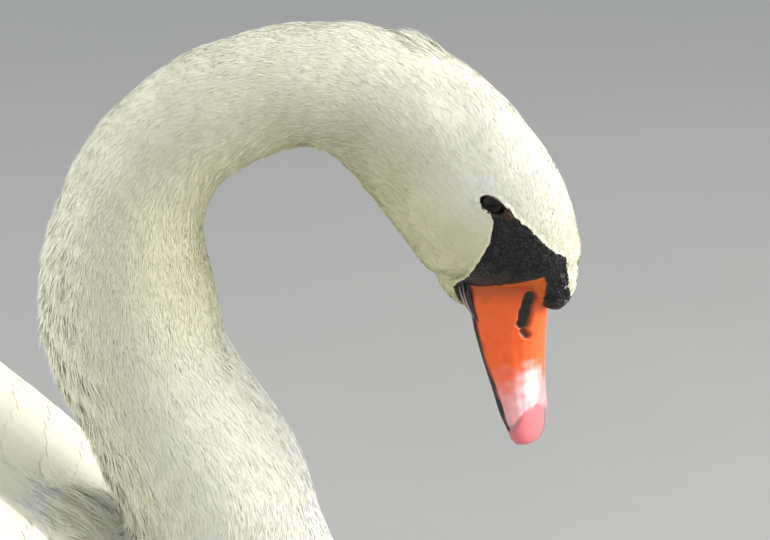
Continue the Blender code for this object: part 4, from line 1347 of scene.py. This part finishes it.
# %% Shape the lower bill
# Along the bill: rim, half width and depth.
lower_bill = smooth_through([
    (-0.03, (-27.3, 15.2, 6.2)), (0.0, (-27.0, 15.0, 5.6)), (0.3, (-25.8, 14.4, 2.9)),
    (0.6, (-22.0, 14.2, 2.2)), (0.85, (-18.4, 12.4, 2.2)), (0.92, (-17.9, 8.6, 1.9)),
    (0.95, (-17.7, 3.0, 1.4)),
])
LOWER_ROWS, LOWER_AROUND = 90, 96
lower_stations = np.linspace(-0.03, 0.95, LOWER_ROWS)
lower_turns = np.linspace(0, 2 * math.pi, LOWER_AROUND, endpoint=False)
lower_edge, lower_half, lower_depth = (column[:, None] for column in lower_bill(lower_stations).T)
lower_across, lower_rise = arch(lower_turns[None], lower_half, 1.0, lower_depth, 3.0, 2.2)
lower_along = np.broadcast_to(BILL_BASE + lower_stations[:, None] * BILL_LENGTH, lower_across.shape)
rim_line = np.exp(-((lower_rise + 0.9) / 0.35) ** 2) * smooth_step(np.abs(lower_across), 3, 8)
lower_across = lower_across * (1 + 0.03 * rim_line)
lower_flat = np.stack([lower_along, lower_across, lower_edge - 1.2 + lower_rise], axis=-1)
cap_points = on_head(np.array([lower_flat[-1].mean(axis=0), lower_flat[0].mean(axis=0)]))
lower_points = np.concatenate([on_head(lower_flat.reshape(-1, 3)), cap_points])

dark_horn, tree, shader = new_material("bill_underside", 0.42)
speckle = noise_of(tree, 420.0, 5.0)
colour = mixed(tree, speckle, paint(0.009, 0.008, 0.009), paint(0.035, 0.030, 0.031))
# The pale share: the lower bill's pale ridge, a tint on the claws, and painted highlights on the folds'
# crests.
colour = mixed(tree, stored(tree, "pale"), colour, paint(0.50, 0.38, 0.36))
paint_all(tree, shader, colour)
bump_from(tree, shader, speckle, 0.2, 0.5)
lower = new_object("bill_lower_horn", lower_points, capped_faces(LOWER_ROWS, LOWER_AROUND), dark_horn)
pale = rim_line * smooth_step(-lower_stations[:, None], -0.5, -0.1) * 0.75
store(lower, pale=np.concatenate([pale.ravel(), [0, 0]]))
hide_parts("bill_lower")
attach(lower, "root")
print("lower bill:", len(lower.data.polygons), "faces")

# %% Folds at the corner of the mouth


def tube(path, radius, around):
    """A round bar along points, thin at both ends."""
    ahead = unit(np.gradient(path, axis=0))
    one = unit(np.cross(ahead, head_left))
    two = np.cross(ahead, one)
    turn = np.linspace(0, 2 * math.pi, around, endpoint=False)[None, :, None]
    slim = (radius * np.sin(np.linspace(0.06, math.pi - 0.06, len(path))) ** 0.6)[:, None, None]
    return (path[:, None] + slim * (np.cos(turn) * one[:, None] + np.sin(turn) * two[:, None])).reshape(-1, 3)


FOLD_STEPS, FOLD_AROUND = 36, 10
# Height where each fold starts, its thickness, its place to the side and its length.
FOLDS = ((-25.5, 0.9, 18.6, 27), (-28.2, 0.8, 18.1, 25), (-30.8, 0.9, 17.0, 21))
s = np.linspace(0, 1, FOLD_STEPS)
fold_turns = np.linspace(0, 2 * math.pi, FOLD_AROUND, endpoint=False)
fold_points, fold_faces, fold_crest_highlight = [], [], []
for side in (-1, 1):
    for k, (start_up, width, out, length) in enumerate(FOLDS):
        run = np.stack([43.5 + length * s, side * (out - 3.4 * s**1.5 + 0.2 * np.sin(9 * s + k)),
                        start_up + 1.2 * s + 2.6 * s**2 * (1 + 0.35 * k) - 1.4 * np.sin(math.pi * s)], axis=1)
        faces = grid_faces(FOLD_STEPS, FOLD_AROUND, closed=True)
        fold_faces.append(faces + len(fold_points) * FOLD_STEPS * FOLD_AROUND)
        fold_points.append(tube(on_head(run), width, FOLD_AROUND))
        # Painted highlight: a paler stripe along each fold's crest, on the side that faces the light.
        crest = smooth_step(np.cos(fold_turns - 1.4), 0.55, 0.95)
        fold_crest_highlight.append((crest[None] * (0.15 + 0.7 * np.sin(math.pi * s) ** 2)[:, None] * (k > 0)).ravel())
folds_piece = new_object("gape_folds", np.concatenate(fold_points), fold_faces, dark_horn)
store(folds_piece, pale=np.concatenate(fold_crest_highlight))
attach(folds_piece, "root")
print("folds:", len(fold_points))

# %% [markdown]
# ## Eyes and lids
# A swan's eye is small, dark and wet. The ball is nearly black brown with a black pupil under a
# clear coat, whose sharp highlight makes the bird look alive. The opening is an oval slanting
# down towards the bill, and the lids are a thin black rim: a ring whose inner edge rests on the
# ball and whose outer edge dives under the feathers.

# %% Eyeballs
eye_wet, tree, shader = new_material("eye_wet", 0.05, Specular_IOR_Level=0.25, Coat_Weight=0.15,
                                     Coat_Roughness=0.02)
iris_grain = noise_of(tree, 1400.0, 3.0)
iris = mixed(tree, iris_grain, paint(0.004, 0.002, 0.002), paint(0.014, 0.007, 0.004))
paint_all(tree, shader, mixed(tree, stored(tree, "pupil"), iris, paint(0.001, 0.001, 0.001)))
EYE_RINGS, EYE_AROUND = 38, 56
polar = np.linspace(0.0, math.pi, EYE_RINGS + 2)[1:-1]
turn = np.linspace(0, 2 * math.pi, EYE_AROUND, endpoint=False)
bulge = 1 + 0.035 * smooth_step(np.cos(polar), 0.72, 1.0)
first = np.arange(EYE_AROUND)
last = first + (EYE_RINGS - 1) * EYE_AROUND
pole = np.full(EYE_AROUND, EYE_RINGS * EYE_AROUND)
eye_faces = [grid_faces(EYE_RINGS, EYE_AROUND, closed=True),
             np.stack([np.roll(first, -1), first, pole], axis=1),
             np.stack([last, np.roll(last, -1), pole + 1], axis=1)]
for side, name in ((1, "left"), (-1, "right")):
    long_way, short_way, axis = eye_axes * (1, side, 1)
    ring = np.cos(turn)[None, :, None] * long_way + np.sin(turn)[None, :, None] * short_way
    ring = ring * np.sin(polar)[:, None, None]
    ball = (ring + np.cos(polar)[:, None, None] * axis) * (EYE_RADIUS * bulge)[:, None, None]
    centre = EYE_PLACE * (1, side, 1)
    ends = centre + np.array((axis * EYE_RADIUS * 1.035, -axis * EYE_RADIUS))
    points = np.concatenate([(centre + ball).reshape(-1, 3), ends])
    faces = [part[:, ::-1] for part in eye_faces] if side > 0 else eye_faces
    eye = new_object("eyeball_" + name, on_head(points), faces, eye_wet)
    off = points - centre
    from_axis = np.linalg.norm(off - (off @ axis)[:, None] * axis, axis=1)
    store(eye, pupil=smooth_step(-from_axis, -3.3, -2.9) * (off @ axis > 0))
    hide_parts("eye_" + name)
    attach(eye, "root")
print("eyes at", on_head(EYE_PLACE).round(1))

# %% Eyelids
LID_RINGS, LID_AROUND = 12, 72
lid_points, lid_faces = [], []
for side in (1, -1):
    long_way, short_way, out = eye_axes * (1, side, 1)
    centre = EYE_PLACE * (1, side, 1)
    for ring in range(LID_RINGS):
        share = ring / (LID_RINGS - 1)
        for k in range(LID_AROUND):
            turn = 2 * math.pi * k / LID_AROUND
            oval = (long_way * math.cos(turn) * OPENING[0] * (1 + 0.14 * math.cos(turn) ** 8)
                    + short_way * math.sin(turn) * OPENING[1])
            flat = oval * (1 + LID_SPREAD * share)
            on_ball = math.sqrt(max(EYE_RADIUS**2 - float(flat @ flat), 0.0)) + 0.12
            start = on_head(centre + oval * (1.04 + LID_SPREAD) + out * 30)
            spot = skin_tree.ray_cast(Vector(start), Vector(-(out @ head_axes)))[0]
            on_skin = float((in_head(np.array(spot)) - centre) @ out)
            blend = float(smooth_step(share, 0.1, 0.9))
            rim = 0.75 * math.sin(math.pi * min(1.0, share * 1.3)) ** 0.8 - 0.35 * share**3
            wrinkle = 0.10 * math.sin(9 * turn + 14 * share) * math.sin(math.pi * share)
            height = on_ball * (1 - blend) + on_skin * blend + rim + wrinkle
            lid_points.append(on_head(centre + flat + out * height))
    faces = grid_faces(LID_RINGS, LID_AROUND, closed=True) + len(lid_faces) * LID_RINGS * LID_AROUND
    lid_faces.append(faces[:, ::-1] if side > 0 else faces)
lid_material, tree, shader = new_material("lid_skin", 0.45)
fine = noise_of(tree, 700.0, 4.0)
paint_all(tree, shader, mixed(tree, fine, paint(0.012, 0.010, 0.010), paint(0.045, 0.035, 0.032)))
bump_from(tree, shader, fine, 0.15, 0.6)
lids = new_object("eyelids", np.array(lid_points), lid_faces, lid_material)
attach(lids, "root")
print("lid points:", len(lid_points))

# %% [markdown]
# ## Legs and webbed feet
# The feet are tucked beside the belly. Leg and foot are melted into one skin as the body was, and
# then pressed into scales: broad plates down the shank and along the toes, and a fine net of
# grooves over the webs. Every toe ends in a blunt, curved claw of its own.

# %% Paint the legs and shape a claw
ankle = np.array((-150.0, 96.0, 7.4))
FOOT_SPLAY = math.radians(9.0)
# Each toe's turn and its share of the foot's length.
TOES = ((math.radians(-17.0), 0.80), (0.0, 1.0), (math.radians(17.0), 0.93))
FOOT_LENGTH = 142.0
leg_skin, tree, shader = new_material("leg_skin", 0.5)
net = cells_of(tree, 330.0, "DISTANCE_TO_EDGE")
groove_share = ranged(tree, net, 0.0, 0.12, 1.0, 0.0)
wear = noise_of(tree, 60.0, 4.0)
colour = mixed(tree, wear, paint(0.020, 0.019, 0.018), paint(0.060, 0.055, 0.050))
paint_all(tree, shader, mixed(tree, groove_share, colour, paint(0.010, 0.009, 0.009)))
bump_from(tree, shader, net, 0.5, 0.8)


def claw(base, ahead, length, radius):
    """A curved, tapering claw as a closed ring grid: points and faces."""
    steps, around = 9, 12
    upright = np.array((0, 0, 1.0))
    side_way = np.array((-ahead[1], ahead[0], 0.0))
    rows = []
    for i in range(steps):
        t = i / (steps - 1)
        middle = base + ahead * length * t - upright * (2.6 * t * t)
        turn = np.linspace(0, 2 * math.pi, around, endpoint=False)[:, None]
        wide = radius * (1 - t) ** 0.6 + 0.05
        rows.append(middle + wide * (np.cos(turn) * side_way * 0.8 + np.sin(turn) * upright))
    return np.concatenate(rows), grid_faces(steps, around, closed=True)


print("toes:", len(TOES))

# %% Dress legs and feet
for side, name in ((1, "left"), (-1, "right")):
    leg_data = melt(join_solids(("leg_" + name, "foot_" + name), 0.25), 1.1)
    write_points(leg_data, relaxed(read_points(leg_data), read_edges(leg_data), 4))
    points, facing = read_points(leg_data), read_normals(leg_data)
    flat = points * (1, side, 1)
    reach = np.linalg.norm(flat[:, :2] - ankle[:2], axis=1)
    shank = smooth_step(-flat[:, 0], 150, 156)
    toe_angle = np.arctan2(flat[:, 1] - ankle[1], flat[:, 0] - ankle[0]) - FOOT_SPLAY
    on_toe = np.max([np.exp(-((toe_angle - a) * reach / 5.0) ** 2) for a, _ in TOES], axis=0) * (1 - shank)
    plates = np.abs(np.sin(reach * math.pi / 3.6)) ** 0.35 - 0.8
    points = points + facing * (0.45 * plates * np.maximum(on_toe, shank) * (facing[:, 2] > 0))[:, None]
    points[:, 2] = np.maximum(points[:, 2], FOOT_CLEAR)
    write_points(leg_data, points)
    leg_data.shade_smooth()
    leg_data.materials.append(leg_skin)
    foot = bpy.data.objects.new("foot_skin_" + name, leg_data)
    bpy.context.collection.objects.link(foot)
    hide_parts("leg_" + name, "foot_" + name)
    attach(foot, "root")
    claw_points, claw_faces = [], []
    for toe, (toe_turn, share) in enumerate(TOES):
        ahead = np.array((math.cos(toe_turn + FOOT_SPLAY), math.sin(toe_turn + FOOT_SPLAY), 0.0))
        base = ankle * (1, 1, 0) + ahead * (FOOT_LENGTH * share - 13) + (0, 0, 3.6)
        block, faces = claw(base, ahead, 11.0, 2.4)
        claw_points.append(block * (1, side, 1))
        claw_faces.append((faces if side > 0 else faces[:, ::-1]) + toe * len(block))
    claw_array = np.concatenate(claw_points)
    claw_array[:, 2] = np.maximum(claw_array[:, 2], FOOT_CLEAR)
    claws = new_object("claws_" + name, claw_array, claw_faces, dark_horn)
    store(claws, pale=np.full(len(claw_array), 0.12))
    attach(claws, "root")
print("feet dressed")
